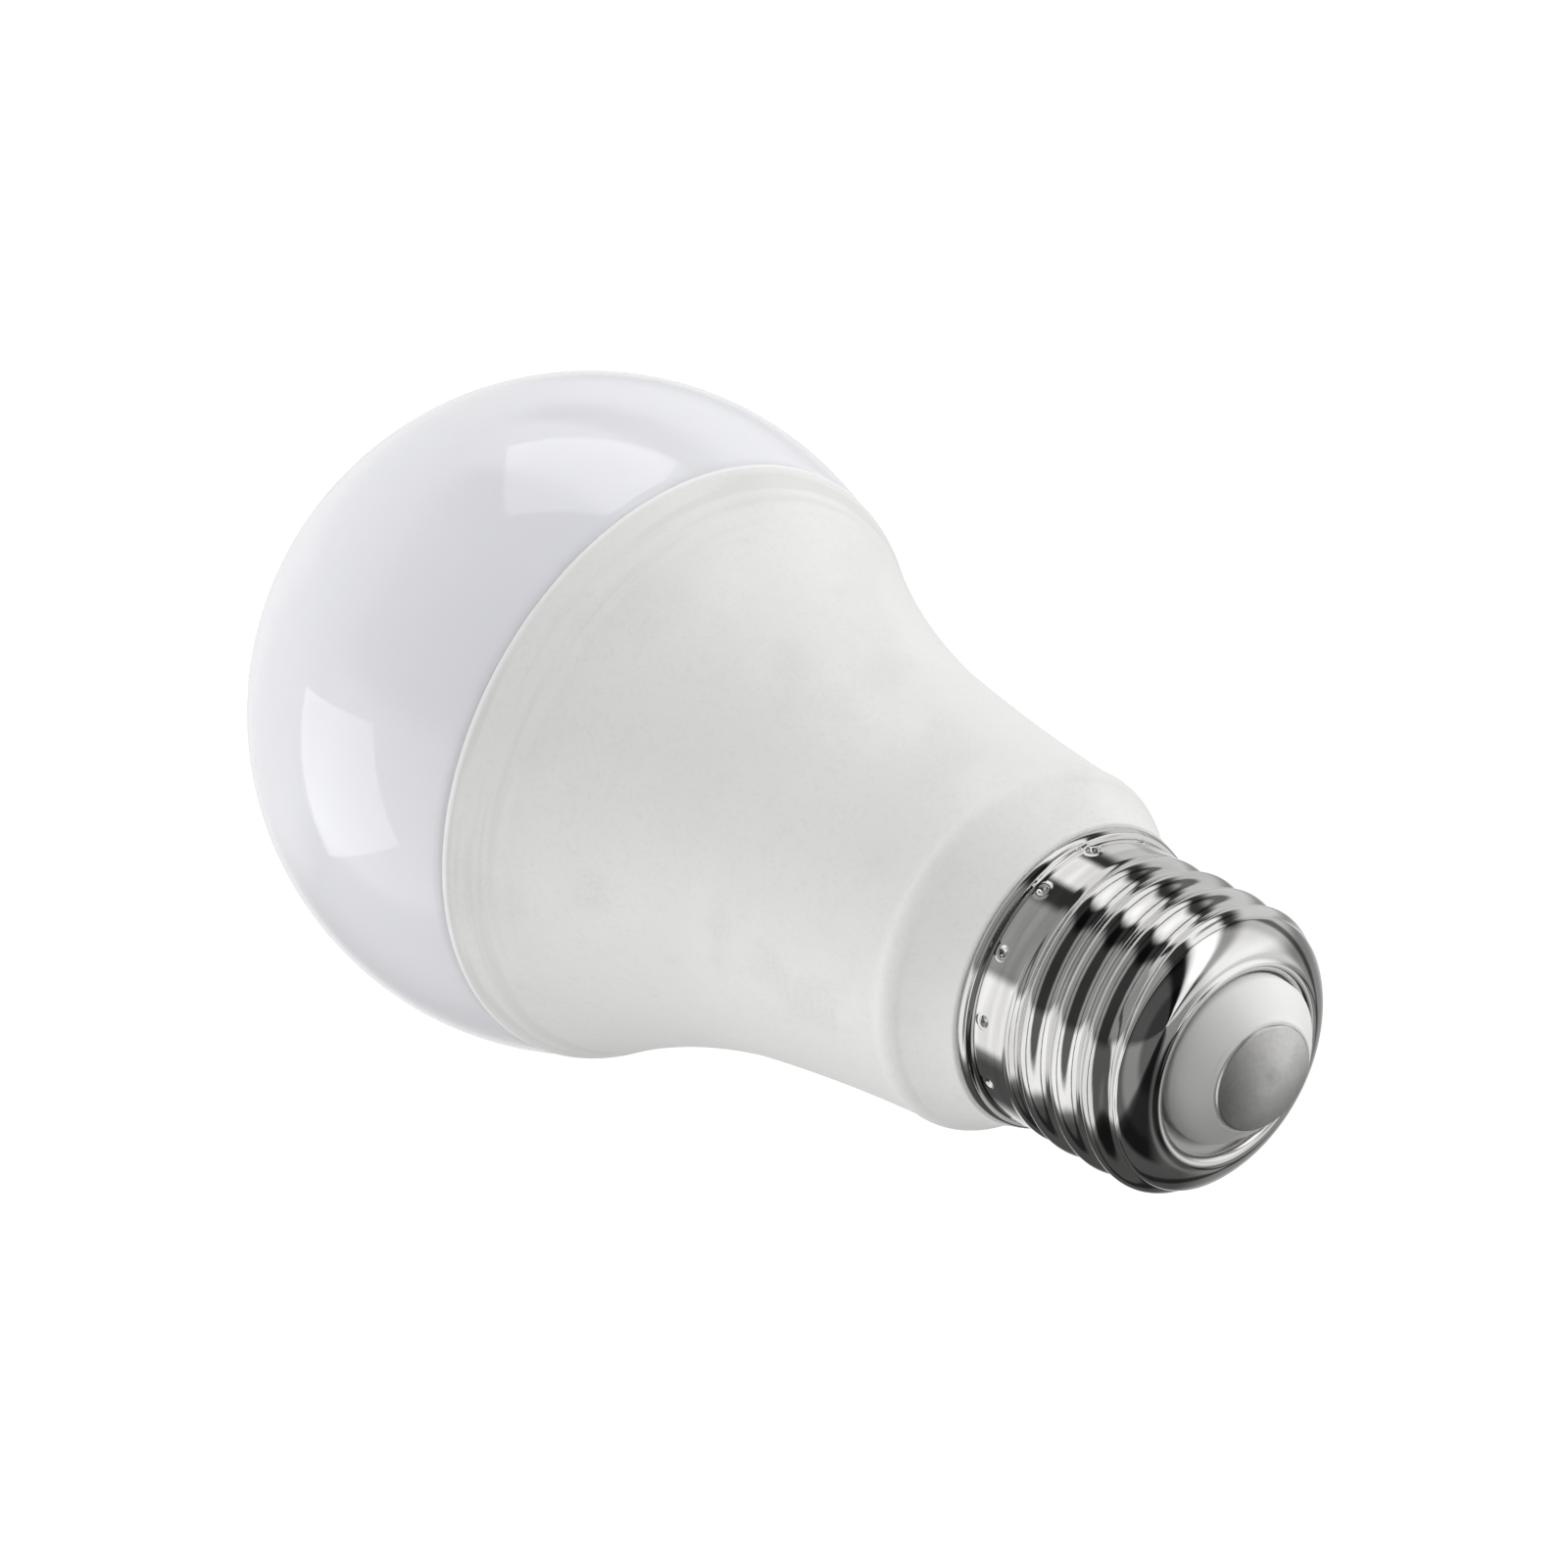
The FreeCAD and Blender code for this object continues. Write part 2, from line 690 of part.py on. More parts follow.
def varistor():
    body = new_body("varistor")
    x, level = "-8.0", "-17.0"
    button = disc(body, x, height(level), "3.5", f"-({BOARD_FACE} + 3.2)", "2.2", "XZ")
    soften(body, button, 0.7)
    for leg in ("-2", "2"):
        disc(body, f"{x} + {leg}", height(level), "0.35", f"-({BOARD_FACE} + 1.2)", "1.2", "XZ")


def radio_module():
    """The wireless module: its board, its shield can and the antenna printed on its free end."""
    board = new_body("radio_board")
    far = "radio_gap + radio_thickness"
    plate(board, rectangle("-radio_half_width", height("radio_low_level"), "radio_half_width",
                           height("radio_high_level")), f"-({far})", "radio_thickness", "XZ")
    can = new_body("radio_shield_can")
    block = plate(can, rectangle("-4.6", height("-42.0"), "4.6", height("-30.5")),
                  f"-({far} + 1.9)", "1.9", "XZ")
    soften(can, block, 0.3)


def antenna_trace():
    """A flat trace that folds up and down on the free end of the module's board."""
    body = new_body("antenna_trace")
    face = "-(radio_gap + radio_thickness + trace_thickness)"
    low = height("radio_low_level + 1")
    left = "-trace_pitch * trace_folds"
    strips = (
        (left, low, "trace_width", "trace_length", "trace_pitch * trace_folds * 2",
         "trace_folds * 2 + 1"),
        (left, f"{low} + trace_length - trace_width", "trace_pitch + trace_width", "trace_width",
         "trace_pitch * (trace_folds * 2 - 2)", "trace_folds"),
        (f"{left} + trace_pitch", low, "trace_pitch + trace_width", "trace_width",
         "trace_pitch * (trace_folds * 2 - 2)", "trace_folds"),
    )
    for x, z, wide, tall, span, count in strips:
        strip = plate(body, rectangle(x, z, f"{x} + {wide}", f"{z} + {tall}"),
                      face, "trace_thickness", "XZ")
        row_pattern(body, strip, "H_Axis", span, count)


def radio_header():
    """The block that joins the wireless module to the driver board, soldered to both faces."""
    body = new_body("radio_header")
    block = plate(body, rectangle("-4.4", height("-29.4"), "4.4", height("-27.4")),
                  "-radio_gap", f"radio_gap - {BOARD_FACE}", "XZ")
    soften(body, block, 0.2)


def led_header():
    """A plastic block on the driver board with three pins that reach through the LED board."""
    body = new_body("led_header")
    centre, half_pin = f"-({BOARD_FACE} + 1.3)", 0.32
    plate(body, rectangle("-3.8", f"{centre} - 1.2", "3.8", f"{centre} + 1.2"),
          height("-43"), "2.5")
    for x in ("-pin_pitch", "0", "pin_pitch"):
        left, right = f"{x} - {half_pin}", f"{x} + {half_pin}"
        plate(body, rectangle(left, f"{centre} - {half_pin}", right, f"{centre} + {half_pin}"),
              height("-47.6"), "7.6")
        plate(body, rectangle(left, centre, right, f"-({BOARD_FACE})"), height("-40.64"), "0.64")


def lead(name, corners, bottom, x, turn):
    """A short insulated wire that starts upward from a height, swept in a plane through the
    lamp's axis: straight runs and rounded turns, with the whole wire turned about the axis."""
    body = new_body(name)
    spine = add_path(new_sketch(body, "XZ"), corners, closed=False)
    section = add_circle(new_sketch(body, "XY", bottom), x, "0", "wire_radius")
    pipe = body.newObject("PartDesign::AdditivePipe", "Wire")
    pipe.Profile = section
    pipe.Spine = (spine, [])
    body.Placement.Rotation = FreeCAD.Rotation(FreeCAD.Vector(0, 0, 1), turn)
    document.recompute()


def line_lead():
    """From the driver board's back face up to the end of the contact's shank."""
    side = f"({BOARD_FACE} + wire_radius + 0.2)"
    swing = "wire_bend"
    lean = f"({side} / 2)"
    rise = f"sqrt({swing}^2 - ({swing} - {lean})^2)"
    top = height("insulator_top_level - nail_length")
    start = height("4")
    lead("line_lead", [
        (side, start),
        (side, f"{top} - 0.6 - 2 * {rise}", f"-{swing}"),
        (lean, f"{top} - 0.6 - {rise}", swing),
        ("0", f"{top} - 0.6"),
        ("0", top),
    ], start, side, 90)


def neutral_lead():
    """From the driver board up the neck, and through its notch to the inside of the cap."""
    along = "7"
    start = height("4")
    level = height("neck_end_level - 1")
    lead("neutral_lead", [
        (along, start),
        (along, f"{level} - wire_bend", "wire_bend"),
        (f"{along} + wire_bend", level),
        ("thread_root - cap_sheet - running_gap", level),
    ], start, along, 11.5)


def electronics():
    driver_board()
    can_capacitor("bulk_capacitor", "0", "-6", "13", "4")
    can_capacitor("output_capacitor", "9", "-39", "9", "3.15")
    block_on_board("filter_capacitor", "-7", "-39", 10.0, 9.5, 5.0, 1, 0.8)
    drum_inductor()
    rectifier = block_on_board("bridge_rectifier", "7", "-20", 6.2, 4.7, 2.4, -1)
    add_legs(rectifier, "7", "-19.3", 8.0, 0.7, 2.6, 2, -1)
    fuse_resistor()
    varistor()
    chip = block_on_board("driver_chip", "10", "-36", 3.9, 4.9, 1.5, -1, 0.2)
    add_legs(chip, "10", "-35.6", 6.0, 0.42, 1.24, 4, -1)
    radio_module()
    antenna_trace()
    radio_header()
    led_header()
    line_lead()
    neutral_lead()


def broken(item):
    return any(word in ("Invalid", "Error") for word in item.State)


diffuser_dome()
dome_adhesive_ring()
outer_housing()
screw_shell()
base_insulator()
centre_contact()
heat_sink_cup()
thermal_pad()
led_board()
led_ring("cool_white_leds", "led_circle", 0, "led_pairs")
led_ring("warm_white_leds", "led_circle", 180 / DIMENSIONS["led_pairs"], "led_pairs")
led_ring("colour_leds", "colour_circle", 0, "colour_count", 1.6)
led_board_screws()
electronics()

document.recompute()
failed = [item.Name for item in document.Objects if broken(item)]
failed += [body.Label for body in bodies if body.Shape.isNull() or not body.Shape.isValid()]
if failed:
    raise RuntimeError("not built: " + ", ".join(failed))
os.makedirs("parts", exist_ok=True)
for body in bodies:
    body.Shape.exportStep(f"parts/{body.Label}.step")
    print(f"{body.Label}: {len(body.Shape.Solids)} solids, {body.Shape.Volume:.1f} mm3")
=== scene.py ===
# %% [markdown]
# # A smart LED lamp, cap up
# This lesson dresses an engineering model of a screw-cap lamp until it looks like the real thing.
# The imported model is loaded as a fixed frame. Its outside pieces are then remade with finer
# meshes, the pieces sealed inside get better finishes, and all of it keeps the frame's sizes.

# %% Load the frame
import math
import bpy
from mathutils import Matrix, Vector


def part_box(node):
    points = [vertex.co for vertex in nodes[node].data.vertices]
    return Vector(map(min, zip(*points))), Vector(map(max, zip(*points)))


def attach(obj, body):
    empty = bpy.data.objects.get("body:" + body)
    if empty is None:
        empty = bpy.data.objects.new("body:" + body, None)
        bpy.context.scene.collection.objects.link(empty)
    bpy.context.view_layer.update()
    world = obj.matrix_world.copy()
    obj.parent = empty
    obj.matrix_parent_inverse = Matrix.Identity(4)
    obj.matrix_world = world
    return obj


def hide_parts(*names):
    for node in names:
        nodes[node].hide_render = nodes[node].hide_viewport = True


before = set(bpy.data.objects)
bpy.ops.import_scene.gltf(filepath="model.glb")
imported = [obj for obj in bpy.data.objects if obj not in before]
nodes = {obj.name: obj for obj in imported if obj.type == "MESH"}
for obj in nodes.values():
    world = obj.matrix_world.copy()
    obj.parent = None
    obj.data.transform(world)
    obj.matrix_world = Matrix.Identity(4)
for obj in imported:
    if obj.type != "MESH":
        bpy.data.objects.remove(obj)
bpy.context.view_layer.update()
print("frame holds", len(nodes), "pieces")

# %% [markdown]
# ## Where things are
# The lamp's axis is Z and the tip of the centre contact is the origin. A lamp maker gives heights
# from the flange of the cap, so the sizes below do the same, in millimetres. They come from the
# boxes of the frame's pieces wherever a box can give them.

# %% Read the main sizes from the frame
MM = 0.001


def box_mm(node):
    """Lowest and highest corner of a piece of the frame, in millimetres."""
    low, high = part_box(node)
    return low / MM, high / MM


FLANGE = box_mm("screw_shell")[0].z
LIP = box_mm("screw_shell")[1].z - FLANGE
SEAM = box_mm("outer_housing")[0].z - FLANGE
APEX = box_mm("diffuser_dome")[0].z - FLANGE
DOME_RADIUS = box_mm("diffuser_dome")[1].x
RIM_RADIUS = box_mm("outer_housing")[1].x
DOME_CENTRE = APEX + DOME_RADIUS
SEAM_RADIUS = math.sqrt(DOME_RADIUS ** 2 - (SEAM - DOME_CENTRE) ** 2)
print(f"cap {LIP:.2f} mm, seam at {SEAM:.2f}, dome radius {DOME_RADIUS:.2f}, rim {RIM_RADIUS:.2f}")

# %% [markdown]
# ## Turned pieces
# Dome, housing, cap, insulator and contact are all round about one axis. In Blender such a piece
# can be spun with the Spin tool, with the Screw modifier or in a short function. The function wins
# here, because one outline in (radius, height) stays readable, points on the axis become a single
# vertex, and the last step always joins the first, so no seam is left open.

# %% A small lathe
def arc(start, end, radius, steps):
    """Points from start to just before end on an arc; radius > 0 bulges left of the way."""
    (x0, y0), (x1, y1) = start, end
    half = math.hypot(x1 - x0, y1 - y0) / 2
    left = Vector((y0 - y1, x1 - x0)) / (2 * half)
    to_centre = math.sqrt(radius * radius - half * half)
    centre = Vector(((x0 + x1) / 2, (y0 + y1) / 2)) - left * math.copysign(to_centre, radius)
    first = math.atan2(y0 - centre.y, x0 - centre.x)
    sweep = -2 * math.copysign(math.asin(half / abs(radius)), radius)
    return [(centre.x + abs(radius) * math.cos(first + sweep * i / steps),
             centre.y + abs(radius) * math.sin(first + sweep * i / steps)) for i in range(steps)]


def line(start, end, steps=1):
    """Points from start to just before end on a straight line."""
    return [(start[0] + (end[0] - start[0]) * i / steps,
             start[1] + (end[1] - start[1]) * i / steps) for i in range(steps)]


print("outline helpers ready")

# %% [markdown]
# ## From outline to piece
# Every finished piece rides a body of the frame and, if it stands for imported pieces, hides them.
# The lathe itself makes one ring of points for each point of the outline and joins neighbouring
# rings with four-sided faces, which shade evenly.

# %% Lathe and tie
def tie(piece, slot_name, *cad_nodes):
    """Ride the only body and, where it stands for CAD nodes, hide them; the slot name is not used.
    """
    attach(piece, "root")
    if cad_nodes:
        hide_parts(*cad_nodes)


def mesh_piece(name, points, faces, material):
    """A smooth mesh object from points in metres, in the lamp's own frame."""
    mesh = bpy.data.meshes.new(name)
    mesh.from_pydata(points, [], faces)
    mesh.materials.append(material)
    mesh.polygons.foreach_set("use_smooth", [True] * len(mesh.polygons))
    piece = bpy.data.objects.new(name, mesh)
    bpy.context.scene.collection.objects.link(piece)
    return piece


def lathe(name, outline, around, material):
    """Turn a closed outline of (radius, level) points about the axis. The outline runs so that
    the material is on its left, which makes the faces point outwards."""
    points, rings = [], []
    for radius, level in outline:
        height = (FLANGE + level) * MM
        if radius < 1e-6:
            rings.append([len(points)] * around)
            points.append((0, 0, height))
            continue
        rings.append(list(range(len(points), len(points) + around)))
        for i in range(around):
            turn = 2 * math.pi * i / around
            points.append((radius * MM * math.cos(turn), radius * MM * math.sin(turn), height))
    faces = []
    for low, high in zip(rings, rings[1:] + rings[:1]):
        for i in range(around):
            j = (i + 1) % around
            corners = []
            for corner in (low[i], low[j], high[j], high[i]):
                if corner not in corners:
                    corners.append(corner)
            if len(corners) > 2:
                faces.append(corners)
    return mesh_piece(name, points, faces, material)


print("lathe ready")

# %% [markdown]
# ## Arithmetic in node trees
# A rule such as a screw thread is a formula, and a formula drawn with Math nodes is long to write.
# This little class wraps a socket so that plus, minus and times add the Math nodes by themselves.
# It serves the geometry tree of the cap and the shader groups alike.

# %% Sockets that can be added and multiplied
class Num:
    """A number socket of a node tree, used in ordinary arithmetic."""

    def __init__(self, tree, socket):
        self.tree = tree
        self.socket = socket

    def math(self, operation, *others, swap=False):
        values = (*others, self) if swap else (self, *others)
        node = add(self.tree, "ShaderNodeMath", enumerate(values), operation=operation)
        return Num(self.tree, node.outputs[0])

    def __add__(self, other):
        return self.math("ADD", other)

    def __sub__(self, other):
        return self.math("SUBTRACT", other)

    def __rsub__(self, other):
        return self.math("SUBTRACT", other, swap=True)

    def __mul__(self, other):
        return self.math("MULTIPLY", other)

    def __truediv__(self, other):
        return self.math("DIVIDE", other)

    def ramp(self, low, high, to_low=0.0, to_high=1.0):
        """A smooth step from to_low to to_high while this number goes from low to high."""
        values = enumerate((self, low, high, to_low, to_high))
        node = add(self.tree, "ShaderNodeMapRange", values, interpolation_type="SMOOTHSTEP")
        return Num(self.tree, node.outputs[0])


print("node arithmetic ready")

# %% [markdown]
# ## Node groups with named inputs
# A node group is a tree that can be placed again and again. Its inputs and outputs are declared on
# its interface, with a name and a kind of socket, so whoever places it sees plain names.

# %% A call that makes a group
def new_group(kind, name, inputs, outputs):
    """A node group with named inputs (name, kind of socket, start value) and outputs."""
    group = bpy.data.node_groups.new(name, kind)
    for socket_name, socket_kind, value in inputs:
        socket = group.interface.new_socket(socket_name, in_out="INPUT", socket_type=socket_kind)
        if value is not None:
            socket.default_value = value
    for socket_name, socket_kind in outputs:
        group.interface.new_socket(socket_name, in_out="OUTPUT", socket_type=socket_kind)
    return group, group.nodes.new("NodeGroupInput"), group.nodes.new("NodeGroupOutput")


def add(tree, kind, inputs=(), **settings):
    """Add a node. Inputs maps sockets to numbers, to other sockets or to plain values."""
    node = tree.nodes.new(kind)
    for name, value in settings.items():
        setattr(node, name, value)
    for name, value in dict(inputs).items():
        if isinstance(value, Num):
            value = value.socket
        if isinstance(value, bpy.types.NodeSocket):
            tree.links.new(value, node.inputs[name])
        else:
            node.inputs[name].default_value = value
    return node


def finish_geometry(tree, mesh, material, leave):
    """End a geometry tree as every one should: plain mesh, finish on it, out."""
    real = add(tree, "GeometryNodeRealizeInstances", {0: mesh})
    coat = add(tree, "GeometryNodeSetMaterial", {"Geometry": real.outputs[0], "Material": material})
    tree.links.new(coat.outputs[0], leave.inputs["Geometry"])
    return tree


FLOAT, VECTOR, GEOMETRY = "NodeSocketFloat", "NodeSocketVector", "NodeSocketGeometry"
print("kinds of socket:", FLOAT, VECTOR, GEOMETRY)

# %% [markdown]
# ## Surface effects that several finishes share
# Moulded plastic has a fine grain from the tool, rolled and turned metal has lines that run round
# the axis, and everything that has been handled has a few hair scratches. Each effect is a shader
# node group that reads Object coordinates, so it stays on the surface from every side. A group
# puts out only values that vary over the surface; each material decides what to do with them.

# %% Group: where on the lamp
def in_mm(tree, place):
    """A vector socket in metres, turned into millimetres."""
    return add(tree, "ShaderNodeVectorMath", {0: place, "Scale": 1 / MM},
               operation="SCALE").outputs[0]


def parts_of(tree, vector):
    """X, Y and Z of a vector socket as numbers."""
    split = add(tree, "ShaderNodeSeparateXYZ", {0: vector})
    return (Num(tree, socket) for socket in split.outputs)


def object_place(tree):
    """Object coordinates in millimetres, as a vector socket."""
    place = add(tree, "ShaderNodeTexCoord")
    return in_mm(tree, place.outputs["Object"])


def axis_place(tree):
    """Distance from the axis and height above the flange, in millimetres, and the three
    coordinates."""
    x, y, z = parts_of(tree, object_place(tree))
    return (x * x + y * y).math("SQRT"), z - FLANGE, x, y


def noise(tree, place, scale, detail=2.0, rough=0.5, distort=0.0):
    """A noise texture read at a place, as a number from 0 to 1."""
    node = add(tree, "ShaderNodeTexNoise", {"Vector": place, "Scale": scale, "Detail": detail,
                                            "Roughness": rough, "Distortion": distort})
    return Num(tree, node.outputs["Fac"])


def join_place(tree, x, y, z):
    return add(tree, "ShaderNodeCombineXYZ", {0: x, 1: y, 2: z}).outputs[0]


print("places are read in object coordinates, 1 mm =", MM, "m")

# %% [markdown]
# ## Moulded grain
# A mould is spark-eroded or blasted, and the plastic copies its fine grain. Two noise textures of
# different size make it, one fine and one coarse, and a third, very slow one gives the faint
# unevenness that any real surface has.

# %% Group: moulded grain
def make_moulded_grain():
    """Fine tool grain and a slow unevenness, for moulded plastic."""
    group, enter, leave = new_group(
        "ShaderNodeTree", "moulded_grain", [("Grains per mm", FLOAT, 5.0)],
        [("Height", FLOAT), ("Unevenness", FLOAT)])
    place = object_place(group)
    density = Num(group, enter.outputs["Grains per mm"])
    fine = noise(group, place, density, 3.0, 0.65)
    coarse = noise(group, place, density * 0.35, 1.0)
    group.links.new((fine * 0.75 + coarse * 0.25).socket, leave.inputs["Height"])
    slow = noise(group, place, 0.09, 3.0, 0.55)
    group.links.new(slow.ramp(0.3, 0.7).socket, leave.inputs["Unevenness"])
    return group


MOULDED_GRAIN = make_moulded_grain()
print("group:", MOULDED_GRAIN.name)

# %% [markdown]
# ## Lines round the axis
# Rolls and turning tools run round the part, so their marks do too. The noise is read at a place
# that changes fast with height and radius and very slowly round the axis, and so it stretches into
# lines. An image of brushed metal would do it too, but a noise has no seam and no size limit.

# %% Group: lines round the axis
def make_turned_lines():
    """Lines that run round the lamp's axis, as rolling and turning leave them."""
    group, enter, leave = new_group(
        "ShaderNodeTree", "turned_lines", [("Lines per mm", FLOAT, 6.0)],
        [("Height", FLOAT), ("Streaks", FLOAT)])
    radius, level, x, y = axis_place(group)
    density = Num(group, enter.outputs["Lines per mm"])
    across = join_place(group, x * 0.04, y * 0.04, (radius + level) * density)
    group.links.new(noise(group, across, 1.0, 3.0, 0.6).socket, leave.inputs["Height"])
    wide = join_place(group, x * 0.08, y * 0.08, (radius + level) * 0.9)
    group.links.new(noise(group, wide, 1.0, 2.0).socket, leave.inputs["Streaks"])
    return group


TURNED_LINES = make_turned_lines()
print("group:", TURNED_LINES.name)

# %% [markdown]
# ## Rim ripples: painted shade and a painted highlight
# Near the rim of the housing the plastic has faint ripples, and their shade is painted into the
# colour as wide uneven darker bands that fade away from the rim. A painted highlight makes a paler
# line along the rounded edge at the very rim.

# %% Group: painted shade of rim ripples and painted rim highlight
def make_rim_ripple_shade_and_highlight():
    """Painted shade of faint ripples as darker rings fading from a level, and a painted highlight
    there.
    """
    group, enter, leave = new_group(
        "ShaderNodeTree", "flow_rings",
        [("Start", FLOAT, 0.0), ("Reach", FLOAT, 9.0), ("Rings per mm", FLOAT, 0.9)],
        [("Rings", FLOAT), ("Edge", FLOAT)])
    radius, level, x, y = axis_place(group)
    start, reach, density = (Num(group, socket) for socket in enter.outputs[:3])
    along = level - start
    across = join_place(group, x * 0.03, y * 0.03, along * density)
    # painted shade: darker rings that stand in for the shade of faint ripples near the rim
    rings = noise(group, across, 1.0, 2.0, 0.6).ramp(0.42, 0.6)
    fade = (along / reach).ramp(0.08, 1.0, 1.0, 0.0)
    group.links.new((rings * fade).socket, leave.inputs["Rings"])
    # painted highlight: Edge is a pale line along the rounded edge at the rim
    group.links.new(along.ramp(0.35, 0.65, 1.0, 0.0).socket, leave.inputs["Edge"])
    return group


RIM_RIPPLE_SHADE_AND_HIGHLIGHT = make_rim_ripple_shade_and_highlight()
print("group:", RIM_RIPPLE_SHADE_AND_HIGHLIGHT.name)

# %% [markdown]
# ## Hair scratches
# Handling leaves a few thin marks. A noise crosses its middle value along thin curves, so a narrow
# band round that value draws hairs; a second, slow noise keeps them to a few places. Stretching
# the place gives the hairs a direction, and two directions look natural.

# %% Group: hair scratches
def make_hair_scratches():
    """A few short fine scratches in two directions, as a mask."""
    group, enter, leave = new_group(
        "ShaderNodeTree", "hair_scratches",
        [("Amount", FLOAT, 0.5), ("Size", FLOAT, 1.0)], [("Mask", FLOAT)])
    amount = Num(group, enter.outputs["Amount"])
    size = Num(group, enter.outputs["Size"])
    total = None
    for turn, seed in ((0.5, 3.0), (-0.9, 11.0)):
        mapping = add(group, "ShaderNodeMapping", {
            "Vector": object_place(group), "Location": (seed, seed * 2, seed * 3),
            "Rotation": (turn, turn * 0.7, turn * 1.6), "Scale": (0.35, 2.6, 2.6)})
        thin = noise(group, mapping.outputs[0], size * 1.4, 2.0, 0.5, distort=0.3)
        ridge = (thin - 0.5).math("ABSOLUTE").ramp(0.0, 0.006, 1.0, 0.0)
        where = noise(group, object_place(group), size * 0.13, 1.0).ramp(0.56, 0.68)
        mark = ridge * where
        total = mark if total is None else total.math("MAXIMUM", mark)
    group.links.new((total * amount).socket, leave.inputs["Mask"])
    return group


HAIR_SCRATCHES = make_hair_scratches()
print("shader groups:", [g.name for g in bpy.data.node_groups])

# %% [markdown]
# ## Finishes
# A finish starts as a Principled shader with its constants set on the sockets. What varies over
# the surface is then linked: a colour that drifts a little, a roughness with the scratches in it,
# and a bump for relief that is too fine for the mesh. Constants stay on sockets, because that is
# what an exported model keeps.

# %% Helpers for finishes
class Finish:
    """A material with one Principled shader and short calls for what varies."""

    def __init__(self, name, colour, roughness, metallic=0.0, **constants):
        self.material = bpy.data.materials.new(name)
        self.material.use_nodes = True
        self.tree = self.material.node_tree
        self.shader = self.tree.nodes["Principled BSDF"]
        self.colour = colour
        self.roughness = roughness
        self.set("Base Color", (*colour, 1.0))
        self.set("Roughness", roughness)
        self.set("Metallic", metallic)
        for socket, value in constants.items():
            self.set(socket.replace("_", " ").title().replace("Ior", "IOR"), value)
        self.relief = None

    def set(self, socket, value):
        self.shader.inputs[socket].default_value = value

    def group(self, group, **inputs):
        """Place a shared group and return a call that gives its outputs as numbers."""
        named = {socket.replace("_", " "): value for socket, value in inputs.items()}
        node = add(self.tree, "ShaderNodeGroup", node_tree=group)
        for socket, value in named.items():
            node.inputs[socket].default_value = value
        return lambda output: Num(self.tree, node.outputs[output])

    def tint(self, number, other, low=0.0, high=1.0):
        """Drift the colour towards another one by a number."""
        mix = self.tree.nodes.new("ShaderNodeMix")
        mix.data_type = "RGBA"
        if self.shader.inputs["Base Color"].is_linked:
            earlier = self.shader.inputs["Base Color"].links[0].from_socket
            self.tree.links.new(earlier, mix.inputs[6])
        else:
            mix.inputs[6].default_value = (*self.colour, 1.0)
        mix.inputs[7].default_value = (*other, 1.0)
        self.tree.links.new(number.ramp(low, high).socket, mix.inputs[0])
        self.tree.links.new(mix.outputs[2], self.shader.inputs["Base Color"])

    def link(self, socket, number):
        """Let a number drive one of the shader's sockets."""
        self.tree.links.new(number.socket, self.shader.inputs[socket])

    def rough(self, number):
        self.link("Roughness", number)

    def bump(self, number, depth, strength=1.0):
        """Add relief; depth is its height in metres."""
        bump = add(self.tree, "ShaderNodeBump",
                   {"Strength": strength, "Distance": depth, "Height": number})
        if self.relief is not None:
            self.tree.links.new(self.relief, bump.inputs["Normal"])
        self.relief = bump.outputs[0]
        self.tree.links.new(self.relief, self.shader.inputs["Normal"])


OUTSIDE = {}


def make(finish):
    """Build a finish of the outside and keep it by its name."""
    OUTSIDE[finish.__name__] = finish()
    print("finish:", finish.__name__)


print("finish helpers ready")

# %% [markdown]
# ## Milky polycarbonate
# The dome is glossy and slightly cool in colour, and light enters a little way below the surface.
# Subsurface gives that. Transmission would be truer but slow, and it would show the empty inside.

# %% Milky dome
def milky_dome():
    finish = Finish("milky_dome", (0.83, 0.83, 0.875), 0.05, ior=1.5, subsurface_weight=0.25,
                    subsurface_scale=0.004)
    finish.set("Subsurface Radius", (1.0, 1.0, 1.0))
    grain = finish.group(MOULDED_GRAIN, Grains_per_mm=0.6)
    marks = finish.group(HAIR_SCRATCHES, Amount=0.35, Size=0.8)
    finish.rough(grain("Unevenness") * 0.03 + 0.035 + marks("Mask") * 0.15)
    finish.tint(grain("Unevenness"), (0.82, 0.825, 0.865))
    return finish.material


make(milky_dome)

# %% [markdown]
# ## Matte plastic
# The housing is moulded in a flame-retardant plastic, off-white and matte. It gets the grain, a few
# pale scratches, painted shade of faint rim ripples and a painted highlight on the rim's edge. Each
# one shifts the colour a little too, because relief alone nearly vanishes in even light.

# %% Matte housing
def housing_white():
    finish = Finish("housing_white", (0.81, 0.81, 0.80), 0.5, ior=1.5)
    grain = finish.group(MOULDED_GRAIN, Grains_per_mm=2.4)
    ripple_shade_and_highlight = finish.group(RIM_RIPPLE_SHADE_AND_HIGHLIGHT, Start=SEAM)
    marks = finish.group(HAIR_SCRATCHES, Amount=1.0, Size=1.0)
    finish.tint(grain("Unevenness"), (0.79, 0.79, 0.775))
    finish.tint(grain("Height"), (0.76, 0.76, 0.745), 0.45, 0.75)
    # painted shade: darker bands near the rim stand in for the shade of faint ripples
    finish.tint(ripple_shade_and_highlight("Rings"), (0.72, 0.72, 0.705), 0.0, 1.4)
    # painted highlight: a paler line along the rim's rounded edge
    finish.tint(ripple_shade_and_highlight("Edge"), (0.90, 0.90, 0.89))
    finish.tint(marks("Mask"), (0.92, 0.92, 0.91))
    finish.rough(grain("Unevenness") * 0.08 + 0.46 - marks("Mask") * 0.12)
    finish.bump(grain("Height") - marks("Mask") * 0.5, 0.00006, 0.6)
    return finish.material


make(housing_white)

# %% [markdown]
# ## Bright nickel
# The cap is thin sheet with nickel on it. Metallic at 1 makes the base colour the colour of its
# reflections. Roughness stays near zero and wanders with the lines, so some stretches mirror
# crisply and others are a little milky.

